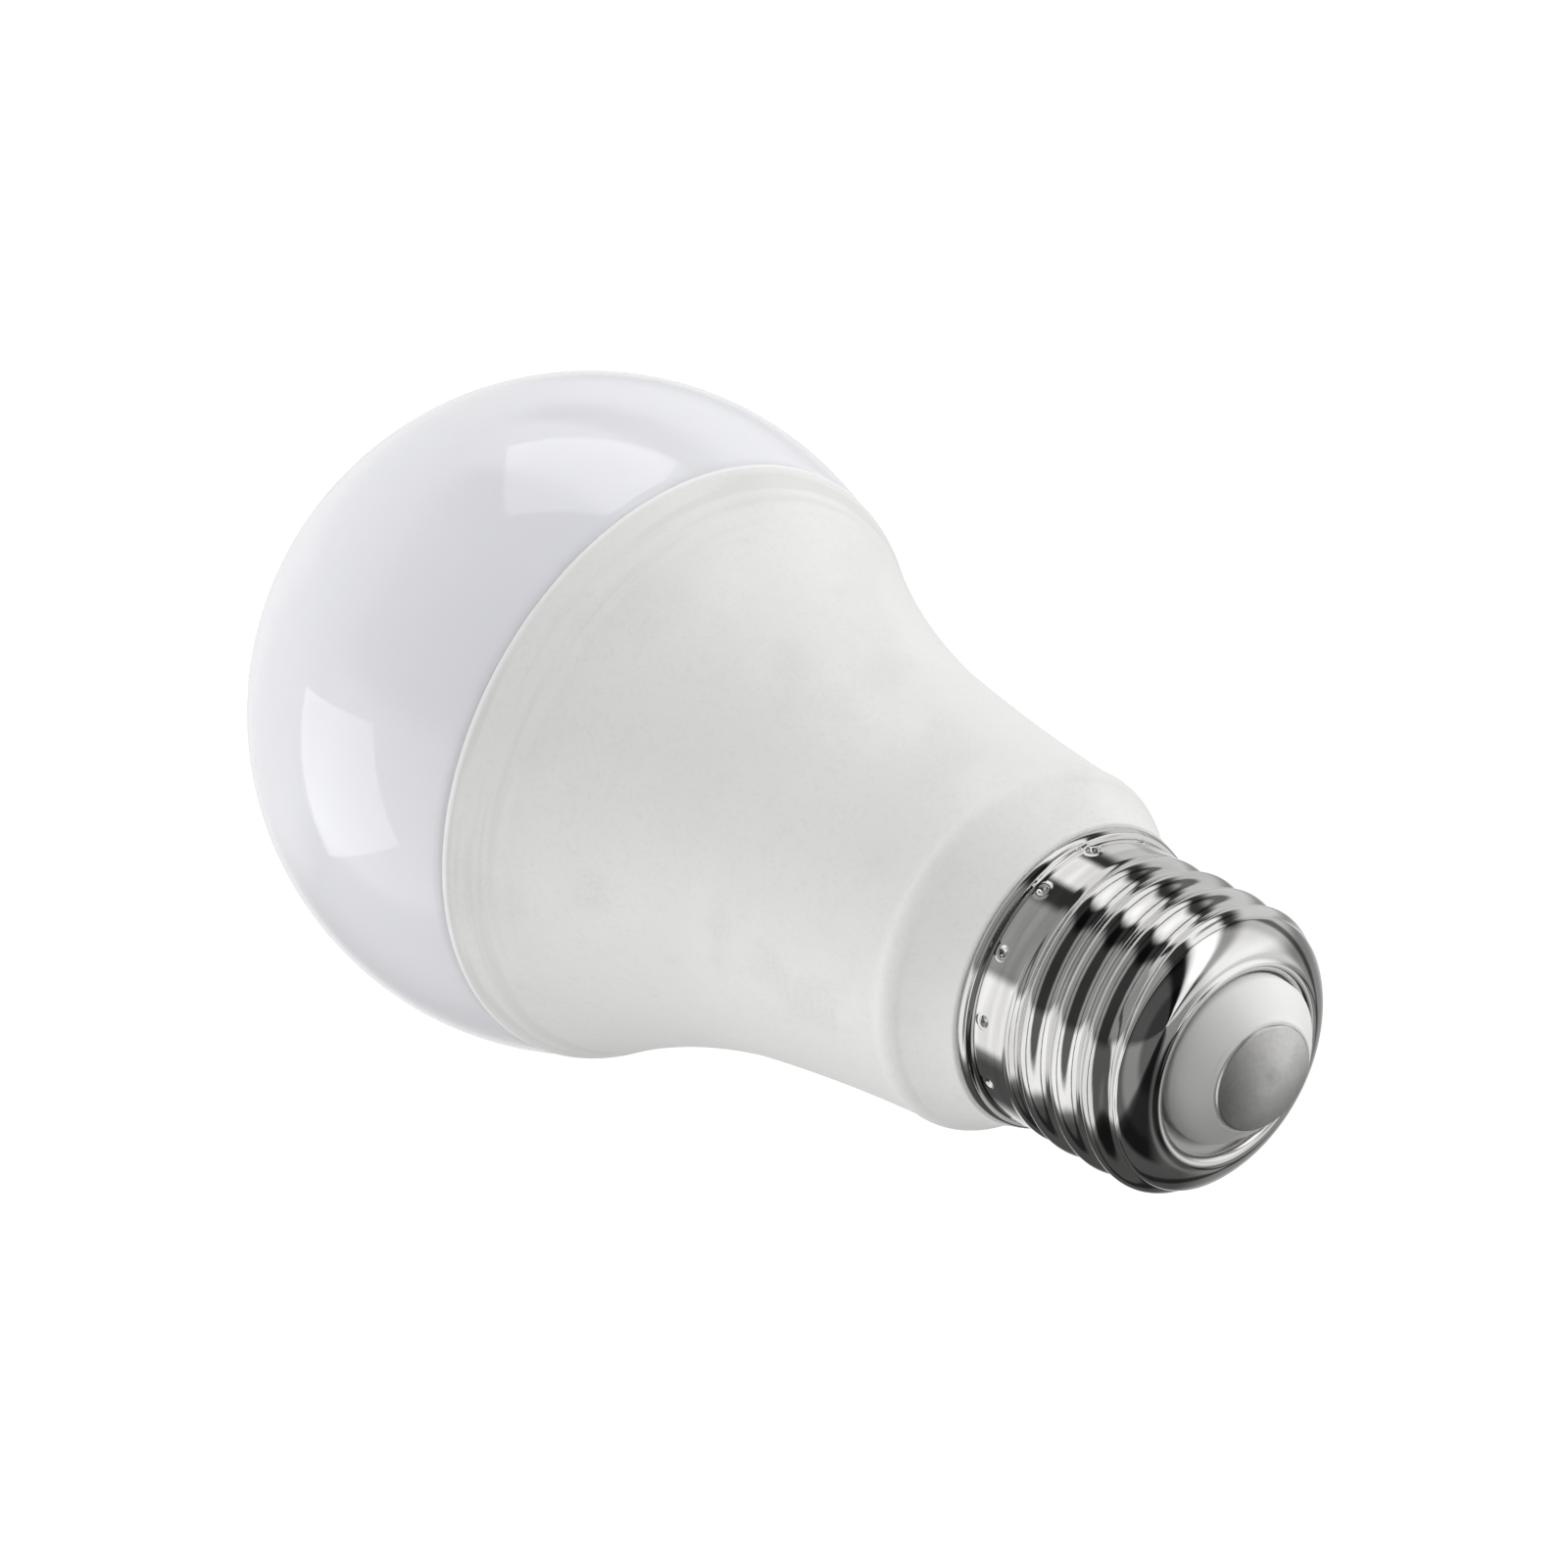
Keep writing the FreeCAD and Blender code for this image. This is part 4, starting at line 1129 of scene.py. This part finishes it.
# %% Ring tree
def make_ring_tree():
    tree, enter, leave = new_group(
        "GeometryNodeTree", "led_ring",
        [("Geometry", GEOMETRY, None), ("Count", "NodeSocketInt", 9), ("Circle", FLOAT, 20.0),
         ("First Turn", FLOAT, 0.0), ("Height", FLOAT, 0.0),
         ("Finish", "NodeSocketMaterial", None)],
        [("Geometry", GEOMETRY)])
    given = {socket.name: Num(tree, socket) for socket in enter.outputs[1:5]}
    index = Num(tree, tree.nodes.new("GeometryNodeInputIndex").outputs[0])
    turn = (index / given["Count"] * 360 + given["First Turn"]) * (math.pi / 180)
    circle = given["Circle"] * MM
    place = join_place(tree, turn.math("COSINE") * circle, turn.math("SINE") * circle,
                       given["Height"] * MM)
    points = add(tree, "GeometryNodePoints", {"Count": enter.outputs["Count"], "Position": place})
    facing = add(tree, "FunctionNodeEulerToRotation", {0: join_place(tree, math.pi, 0.0, turn)})
    copies = add(tree, "GeometryNodeInstanceOnPoints", {
        "Points": points.outputs[0], "Instance": enter.outputs["Geometry"],
        "Rotation": facing.outputs[0]})
    return finish_geometry(tree, copies.outputs[0], enter.outputs["Finish"], leave)


RING_TREE = make_ring_tree()
print("ring tree:", len(RING_TREE.nodes), "nodes")

# %% [markdown]
# ## The three rings
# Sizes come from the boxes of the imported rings: the face of the board, the height of a package and
# the circle. White LEDs get a shallow dish, colour LEDs a lens.

# %% Make the rings
LED_HALF = (1.75, 1.4)
DISH = 1.08


def led_ring(name, node, slot_name, count, first_turn, lens=False):
    low, high = box_mm(node)
    tall = high.z - low.z
    circle = high.x - LED_HALF[0] if first_turn == 0 else high.y - LED_HALF[0]
    half_x, half_y = LED_HALF
    tray = tall * 0.62 if lens else tall
    rings = [(half_x, half_y, SQUARE, 0.0), (half_x, half_y, SQUARE, tray - 0.1),
             (half_x - 0.1, half_y - 0.1, SQUARE, tray), (DISH, DISH, ROUND, tray)]
    inner = [(DISH * math.cos(a), DISH * math.cos(a), ROUND, tray + (tall - tray) * math.sin(a))
             for a in (0.3, 0.7, 1.1, 1.4)] if lens else \
        [(DISH - 0.1, DISH - 0.1, ROUND, tray - 0.14), (0.5, 0.5, ROUND, tray - 0.1)]
    piece = led_package(name, rings + inner, 3, LED_FINISH[slot_name])
    grow(piece, RING_TREE, Count=count, Circle=circle, First_Turn=first_turn, Height=high.z,
         Finish=LED_FINISH[slot_name])
    tie(piece, slot_name, node)
    print(name, "has", len(piece.data.polygons), "faces on a circle of", round(circle, 2))


WHITE_PAIRS = 9
led_ring("cool_led_ring", "cool_white_leds", "phosphor_cool", WHITE_PAIRS, 0.0)
led_ring("warm_led_ring", "warm_white_leds", "phosphor_warm", WHITE_PAIRS, 180.0 / WHITE_PAIRS)
led_ring("colour_led_ring", "colour_leds", "led_clear_lens", 6, 0.0, lens=True)

# %% [markdown]
# ## The copper winding
# The engineering model has a plain tube where the real inductor has wire. A Geometry Nodes tree
# winds it: a spiral curve with as many turns as fit side by side, a small circle swept along it,
# and the whole coil turned and moved onto the core.

# %% Winding tree
def make_winding_tree():
    tree, enter, leave = new_group(
        "GeometryNodeTree", "wire_winding",
        [("Geometry", GEOMETRY, None), ("Coil Radius", FLOAT, 3.0), ("Wire Radius", FLOAT, 0.2),
         ("Width", FLOAT, 4.0), ("Centre", VECTOR, (0, 0, 0)),
         ("Finish", "NodeSocketMaterial", None)],
        [("Geometry", GEOMETRY)])
    coil = Num(tree, enter.outputs["Coil Radius"])
    wire = Num(tree, enter.outputs["Wire Radius"])
    reach = Num(tree, enter.outputs["Width"]) - wire * 2
    line_radius = (coil - wire) * MM
    spiral = add(tree, "GeometryNodeCurveSpiral", {
        "Resolution": 28, "Rotations": reach / (wire * 2), "Start Radius": line_radius,
        "End Radius": line_radius, "Height": reach * MM})
    profile = add(tree, "GeometryNodeCurvePrimitiveCircle", {"Resolution": 10, "Radius": wire * MM})
    sweep = add(tree, "GeometryNodeCurveToMesh", {
        "Curve": spiral.outputs[0], "Profile Curve": profile.outputs[0], "Fill Caps": True})
    stand = add(tree, "GeometryNodeTransform", {
        "Geometry": sweep.outputs[0], "Translation": enter.outputs["Centre"],
        "Rotation": (math.pi / 2, 0, 0)})
    return finish_geometry(tree, stand.outputs[0], enter.outputs["Finish"], leave)


WINDING_TREE = make_winding_tree()
print("winding tree:", len(WINDING_TREE.nodes), "nodes")

# %% [markdown]
# ## Enamelled wire
# Magnet wire is copper under clear enamel, a dark glossy red-brown. The coat is the enamel.

# %% Wind the inductor
def enamelled_copper():
    finish = Finish("enamelled_copper", (0.55, 0.2, 0.07), 0.28, metallic=1.0, coat_weight=0.6)
    grain = finish.group(MOULDED_GRAIN, Grains_per_mm=2.0)
    finish.tint(grain("Unevenness"), (0.42, 0.13, 0.04))
    finish.rough(grain("Height") * 0.14 + 0.2)
    return finish.material


WIRE_RADIUS = 0.19
coil_low, coil_high, coil_middle = ends_mm("inductor_winding")
COPPER = enamelled_copper()
winding = mesh_piece("winding", [], [], COPPER)
grow(winding, WINDING_TREE, Coil_Radius=(coil_high.x - coil_low.x) / 2, Wire_Radius=WIRE_RADIUS,
     Width=coil_high.y - coil_low.y, Finish=COPPER,
     Centre=(coil_middle.x * MM, (coil_high.y - WIRE_RADIUS) * MM, coil_middle.z * MM))
tie(winding, "enamelled_copper", "inductor_winding")

# %% [markdown]
# ## Ferrite
# The core is sintered powder, so it is dull, nearly black and finely pitted.

# %% Ferrite core
def ferrite():
    finish = Finish("ferrite", (0.045, 0.045, 0.05), 0.6)
    grain = finish.group(MOULDED_GRAIN, Grains_per_mm=9.0)
    finish.tint(grain("Height"), (0.085, 0.085, 0.09), 0.5, 0.75)
    finish.rough(grain("Unevenness") * 0.15 + 0.5)
    finish.bump(grain("Height"), 0.00003, 0.7)
    return finish.material


dress(ferrite(), "inductor_core")

# %% [markdown]
# ## Round capacitors
# A can capacitor is an aluminium can in a shrunk sleeve that leaves a round window at the top, has
# a pale stripe on its minus side, and stands on two tinned legs. All three follow from the
# distance to the can's own axis, so the function takes those from the piece's box.

# %% Sleeve, stripe and can top
LEG_DROP = 0.9


def sleeve_black(node):
    low, high, middle = ends_mm(node)
    can = (high.x - low.x) / 2
    finish = Finish("sleeve_black_" + node, (0.018, 0.018, 0.024), 0.28)
    radius, level, x, y = axis_place(finish.tree)
    x = x - middle.x
    y = y - (low.y + can)
    z = level + FLANGE
    away = (x * x + y * y).math("SQRT")
    stripe = x.ramp(can * 0.6, can * 0.66)
    window = away.ramp(can * 0.76, can * 0.8, 1.0, 0.0) * z.ramp(high.z - 0.06, high.z - 0.03)
    legs = z.ramp(low.z + LEG_DROP - 0.02, low.z + LEG_DROP + 0.02, 1.0, 0.0)
    metal = window.math("MAXIMUM", legs)
    grain = finish.group(MOULDED_GRAIN, Grains_per_mm=1.5)
    finish.tint(stripe, (0.42, 0.44, 0.5))
    finish.tint(metal, (0.74, 0.74, 0.75))
    finish.link("Metallic", metal)
    finish.rough(grain("Unevenness") * 0.1 + 0.22 + metal * 0.12)
    finish.bump(grain("Height"), 0.00005, 0.4)
    return finish.material


for can_name in ("bulk_capacitor", "output_capacitor"):
    dress(sleeve_black(can_name), can_name)

# %% [markdown]
# ## Film capacitor and varistor
# The film capacitor is a moulded yellow box with sharp gloss. The varistor is a disc dipped in
# blue epoxy, which runs thin at the edge and leaves a slightly lumpy, glossy skin.

# %% Film capacitor
def film_yellow():
    finish = Finish("film_yellow", (0.8, 0.47, 0.035), 0.24)
    grain = finish.group(MOULDED_GRAIN, Grains_per_mm=2.5)
    finish.tint(grain("Unevenness"), (0.74, 0.4, 0.025))
    finish.rough(grain("Unevenness") * 0.12 + 0.2)
    finish.bump(grain("Height"), 0.00003, 0.5)
    return finish.material


dress(film_yellow(), "filter_capacitor")

# %% [markdown]
# ## A leg and a body in one piece
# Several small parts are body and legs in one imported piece. A mask from one coordinate tells which
# is which, and the legs get tin. One helper does it for all of them.

# %% Tin where the legs are
TIN = (0.7, 0.7, 0.69)


def with_legs(finish, legs, height, dull, depth):
    """Turn the masked part of a finish into tin and give the rest a dull spread and relief."""
    grain = finish.group(MOULDED_GRAIN, Grains_per_mm=7.0)
    finish.tint(grain("Unevenness") * (1 - legs), height)
    finish.tint(legs, TIN)
    finish.link("Metallic", legs)
    finish.rough(grain("Height") * 0.12 + dull - legs * (dull - 0.25))
    finish.bump(grain("Height"), depth, 0.6)
    return finish.material


def varistor_blue():
    finish = Finish("varistor_blue", (0.02, 0.09, 0.36), 0.25)
    radius, level, x, y = axis_place(finish.tree)
    body_end = box_mm("varistor")[0].y + 2.2
    return with_legs(finish, y.ramp(body_end, body_end + 0.05), (0.03, 0.13, 0.45), 0.18, 0.00006)


dress(varistor_blue(), "varistor")

# %% [markdown]
# ## Moulded chips
# Rectifier and driver chip are black epoxy, ground by the mould to a dull even grain, with flat
# tinned legs at the sides.

# %% Black epoxy
def black_epoxy(node, body_width):
    low, high, middle = ends_mm(node)
    finish = Finish("black_epoxy_" + node, (0.02, 0.02, 0.021), 0.5)
    radius, level, x, y = axis_place(finish.tree)
    aside = (x - middle.x).math("ABSOLUTE")
    legs = aside.ramp(body_width / 2, body_width / 2 + 0.04)
    return with_legs(finish, legs, (0.035, 0.035, 0.036), 0.5, 0.00002)


dress(black_epoxy("bridge_rectifier", 6.2), "bridge_rectifier")
dress(black_epoxy("driver_chip", 3.9), "driver_chip")

# %% [markdown]
# ## The fusible resistor
# Its coating is dull blue-grey with four colour rings, and its wire ends are tinned. Each ring is
# a narrow band of height along the part.

# %% Rings of the resistor
LEAD_END = 1.5
RING_WIDTH = 0.8


def resistor_body():
    low, high, middle = ends_mm("fuse_resistor")
    finish = Finish("resistor_body", (0.13, 0.22, 0.26), 0.5)
    radius, level, x, y = axis_place(finish.tree)
    z = level + FLANGE
    first = low.z + LEAD_END + 1.0
    rings = ((0.16, 0.05, 0.02), (0.01, 0.01, 0.01), (0.01, 0.01, 0.01), (0.55, 0.36, 0.08))
    for i, colour in enumerate(rings):
        start = first + i * 1.65
        band = z.ramp(start, start + 0.06) * z.ramp(start + RING_WIDTH, start + RING_WIDTH + 0.06,
                                                    1.0, 0.0)
        finish.tint(band, colour)
    legs = z.ramp(low.z + LEAD_END, low.z + LEAD_END + 0.05, 1.0, 0.0).math(
        "MAXIMUM", z.ramp(high.z - LEAD_END - 0.05, high.z - LEAD_END))
    return with_legs(finish, legs, (0.16, 0.25, 0.29), 0.5, 0.00003)


dress(resistor_body(), "fuse_resistor")

# %% [markdown]
# ## Plugs, can, antenna and screws
# The rest is small hardware: nylon blocks, a tinned can over the wireless chip, a gold antenna and
# zinc-plated screws. Metals get scratches and grain in their roughness, nylon a soft bump.

# %% Small metal parts
def small_metal(name, colour, other, roughness):
    finish = Finish(name, colour, roughness, metallic=1.0)
    grain = finish.group(MOULDED_GRAIN, Grains_per_mm=3.0)
    marks = finish.group(HAIR_SCRATCHES, Amount=1.0, Size=3.0)
    finish.tint(grain("Unevenness"), other)
    finish.rough(grain("Height") * 0.16 + roughness - 0.08 + marks("Mask") * 0.15)
    finish.bump(grain("Height") - marks("Mask"), 0.00001, 0.5)
    return finish.material


dress(small_metal("tinned_steel", TIN, (0.62, 0.62, 0.61), 0.3), "radio_shield_can")
dress(small_metal("gold_trace", (0.83, 0.58, 0.2), (0.76, 0.5, 0.15), 0.28), "antenna_trace")
dress(small_metal("zinc_steel", (0.58, 0.59, 0.62), (0.5, 0.51, 0.53), 0.36), "led_board_screws")

# %% [markdown]
# ## Nylon blocks
# The two connector blocks are nylon. The LED block has gold pins that come out at both ends, so it
# is told from them by height.

# %% Nylon
def black_nylon():
    finish = Finish("black_nylon", (0.022, 0.022, 0.022), 0.48)
    grain = finish.group(MOULDED_GRAIN, Grains_per_mm=5.0)
    finish.tint(grain("Unevenness"), (0.035, 0.035, 0.036))
    finish.rough(grain("Height") * 0.14 + 0.42)
    finish.bump(grain("Height"), 0.00002, 0.6)
    return finish.material


BLOCK_LEVELS = (-43.0, -40.5)


def white_nylon():
    finish = Finish("white_nylon", (0.78, 0.77, 0.71), 0.42)
    radius, level, x, y = axis_place(finish.tree)
    pins = level.ramp(BLOCK_LEVELS[0] - 0.04, BLOCK_LEVELS[0], 1.0, 0.0).math(
        "MAXIMUM", level.ramp(BLOCK_LEVELS[1], BLOCK_LEVELS[1] + 0.04))
    return with_legs(finish, pins, (0.72, 0.71, 0.65), 0.42, 0.00002)


dress(black_nylon(), "radio_header")
dress(white_nylon(), "led_header")

# %% [markdown]
# ## Two short wires
# The leads from the driver board to the cap are insulated with silicone: soft, satin and slightly
# wavy, because the strands press through.

# %% Insulated wire
def wire(name, colour, other):
    finish = Finish(name, colour, 0.45)
    grain = finish.group(MOULDED_GRAIN, Grains_per_mm=1.4)
    finish.tint(grain("Unevenness"), other)
    finish.rough(grain("Height") * 0.12 + 0.4)
    finish.bump(grain("Height"), 0.00006, 0.5)
    return finish.material


dress(wire("wire_red", (0.42, 0.02, 0.015), (0.5, 0.035, 0.025)), "line_lead")
dress(wire("wire_white", (0.76, 0.76, 0.73), (0.7, 0.7, 0.67)), "neutral_lead")

# %% [markdown]
# ## The camera
# The camera is a long lens almost a metre away, which keeps the lamp's outline nearly parallel. It
# looks down at 39 degrees and is rolled, so the cap points down and to the right of the picture.
# The Standard view transform leaves whites white.

# %% Camera
CAMERA_PLACE = Vector((0.0, -0.7407, 0.5392))
CAMERA_AIM = Vector((-0.00266, 0.0, -0.06121))
CAMERA_ROLL = math.radians(118.46)
LENS = 254.1

camera_data = bpy.data.cameras.new("camera")
camera_data.lens = LENS
camera_data.sensor_width = 36.0
camera_data.clip_end = 10.0
camera = bpy.data.objects.new("camera", camera_data)
look = (CAMERA_AIM - CAMERA_PLACE).to_track_quat("-Z", "Y").to_matrix().to_4x4()
camera.matrix_world = Matrix.Translation(CAMERA_PLACE) @ look @ Matrix.Rotation(CAMERA_ROLL, 4, "Z")
bpy.context.scene.collection.objects.link(camera)
bpy.context.scene.camera = camera
bpy.context.scene.view_settings.view_transform = "Standard"
print("lens", LENS, "mm at", round((CAMERA_AIM - CAMERA_PLACE).length, 3), "m")

# %% [markdown]
# ## The floor
# The lamp stands on its dome on a plain pale card. Only the camera sees the card: it neither
# shades nor colours the lamp, as a backdrop that is lit on its own stays out of the picture.

# %% Floor
FLOOR_HALF = 3.0
floor_mesh = bpy.data.meshes.new("floor")
ground = (FLANGE + APEX) * MM
corners = [(x * FLOOR_HALF, y * FLOOR_HALF, ground) for x, y in ((-1, -1), (1, -1), (1, 1), (-1, 1))]
floor_mesh.from_pydata(corners, [], [(0, 1, 2, 3)])
floor = bpy.data.objects.new("floor", floor_mesh)
bpy.context.scene.collection.objects.link(floor)
paper = bpy.data.materials.new("floor_paper")
paper.use_nodes = True
paper_shader = paper.node_tree.nodes["Principled BSDF"]
paper_shader.inputs["Base Color"].default_value = (0.9, 0.9, 0.9, 1)
paper_shader.inputs["Roughness"].default_value = 0.9
paper_shader.inputs["Emission Color"].default_value = (1, 1, 1, 1)
paper_shader.inputs["Emission Strength"].default_value = 0.8
floor_mesh.materials.append(paper)
floor.visible_diffuse = False
floor.visible_glossy = False
floor.visible_transmission = False
floor.visible_shadow = False
print("floor at", round(ground, 4), "m")

# %% [markdown]
# ## The studio
# A shiny cap shows the room more than it shows itself, so the room is designed too. It is written
# as a World shader, in turn and rise round the lamp, because soft edges and dark slats are easier
# to place by direction than as real boards. On the left stand white walls with two black flags, in
# front a grey card, right of the camera a tall strip light, on the far right black cloth, behind
# it pale cloth. The camera itself sees plain white behind the lamp.

# %% The walls of the studio
PALE = 0.3
WALLS = (
    # from, to, softness of the edges in degrees, brightness
    (-142, -106, 8, 0.75),
    (-106, -90, 5, 0.05),
    (-90, -60, 4, 1.1),
    (-60, -38, 5, 0.04),
    (-38, 24, 8, 0.36),
    (28, 88, 5, 1.15),
    (94, 160, 8, 0.09),
)


def panel(number, low, high, soft):
    """1 between two directions and 0 outside, with soft edges."""
    return number.ramp(low - soft, low + soft) * number.ramp(high - soft, high + soft, 1.0, 0.0)


def walls(turn, rise):
    """How bright the studio is in a direction."""
    light = rise * 0 + PALE
    for low, high, soft, value in WALLS:
        light = light + panel(turn, low, high, soft) * (value - PALE)
    # a hood over the camera and the right side keeps the end of the cap dark
    shade = rise.ramp(25, 31) * 0.88 - panel(rise, 44, 64, 4) * 0.15
    light = light * (1 - panel(turn, -62, 140, 10) * shade)
    # a thin dark slat draws a line along every turn of the thread
    light = light * (1 - panel(rise, 4, 12, 2) * 0.75)
    # white ceiling boards at the left and the back light the tip
    light = light + panel(turn, -180, -66, 10) * panel(rise, 24, 66, 6) * 0.4
    light = light + turn.math("ABSOLUTE").ramp(140, 165) * panel(rise, 30, 60, 8) * 0.25
    # low down everything turns to the same pale grey
    low = rise.ramp(-56, -44, 1.0, 0.0)
    light = light * (1 - low) + low * 0.7
    # pale paper behind and below the lamp runs up to the backdrop
    behind = turn.math("ABSOLUTE").ramp(135, 165) * rise.ramp(-40, -5, 1.0, 0.0)
    return light * (1 - behind) + behind * 0.86


def make_studio():
    world = bpy.data.worlds.new("studio")
    world.use_nodes = True
    tree = world.node_tree
    x, y, z = parts_of(tree, add(tree, "ShaderNodeTexCoord").outputs["Generated"])
    turn = x.math("ARCTAN2", y * -1) * (180 / math.pi)
    rise = z.math("ARCSINE") * (180 / math.pi)

    light = walls(turn, rise)
    seen = Num(tree, add(tree, "ShaderNodeLightPath").outputs["Is Camera Ray"])
    strength = light * (1 - seen) + seen
    backdrop = tree.nodes["Background"]
    backdrop.inputs["Color"].default_value = (1, 1, 1, 1)
    tree.links.new(strength.socket, backdrop.inputs["Strength"])
    return world


bpy.context.scene.world = make_studio()
print("studio:", len(bpy.context.scene.world.node_tree.nodes), "nodes")

# %% [markdown]
# ## Lights for the white plastic
# White plastic in front of a white backdrop needs more light than bright metal does. Light linking
# lets some lamps shine on the dome and the housing alone, so the cap keeps its dark bands. Wide
# suns give the even fill, and one more from the left shines on the insulator only.

# %% Fill light
white_plastic = bpy.data.collections.new("white_plastic")
white_plastic.objects.link(dome)
white_plastic.objects.link(housing)


def place_light(name, data, matrix, receivers=white_plastic):
    """Put a lamp in the scene that only the receivers feel."""
    light = bpy.data.objects.new(name, data)
    light.matrix_world = matrix
    light.light_linking.receiver_collection = receivers
    light.visible_camera = False
    bpy.context.scene.collection.objects.link(light)
    return light


def fill(name, direction, strength, receivers=white_plastic, width=120):
    """A very wide sun from a direction."""
    data = bpy.data.lights.new(name, "SUN")
    data.energy = strength
    data.angle = math.radians(width)
    turned = Vector(direction).to_track_quat("Z", "Y").to_matrix().to_4x4()
    light = place_light(name, data, turned, receivers)
    light.visible_glossy = False


FILL = {"fill_left": ((-1, 0, 0), 0.65), "fill_right": ((1, 0, 0), 0.45),
        "fill_above": ((0, 0, 1), 1.45), "fill_below": ((0, 0, -1), 1.15)}
for name, (direction, strength) in FILL.items():
    fill(name, direction, strength)
tip_white = bpy.data.collections.new("tip_white")
tip_white.objects.link(insulator)
fill("fill_tip", (-0.85, 0.1, 0.45), 2.1, tip_white, 80)
print("fill lights:", list(FILL))

# %% [markdown]
# ## Softboxes
# Two softboxes show in the glossy dome, a tilted one on the left and another low on the right.
# They are area lights, placed by turn and rise round the lamp and rolled about their own middle.
# Their size is given as an angle, because that is what one sees in the dome.

# %% Softboxes
def softbox(name, turn, rise, roll, wide, tall, brightness, distance=0.8):
    """A rectangular area light, sized in degrees as the lamp sees it."""
    across, up = math.radians(turn), math.radians(rise)
    direction = Vector((math.sin(across) * math.cos(up), -math.cos(across) * math.cos(up),
                        math.sin(up)))
    data = bpy.data.lights.new(name, "AREA")
    data.shape = "RECTANGLE"
    data.size = 2 * distance * math.tan(math.radians(wide / 2))
    data.size_y = 2 * distance * math.tan(math.radians(tall / 2))
    data.energy = brightness * math.pi * data.size * data.size_y
    middle = Vector((0, 0, (FLANGE + APEX + DOME_RADIUS) * MM))
    facing = direction.to_track_quat("Z", "Y").to_matrix().to_4x4()
    place_light(name, data, Matrix.Translation(middle + direction * distance) @ facing
                @ Matrix.Rotation(math.radians(roll), 4, "Z"))


softbox("softbox_left", -67, -20, 35, 34, 38, 1.4)
softbox("softbox_right", 61, -38, 30, 34, 36, 1.5)
print("softboxes placed")
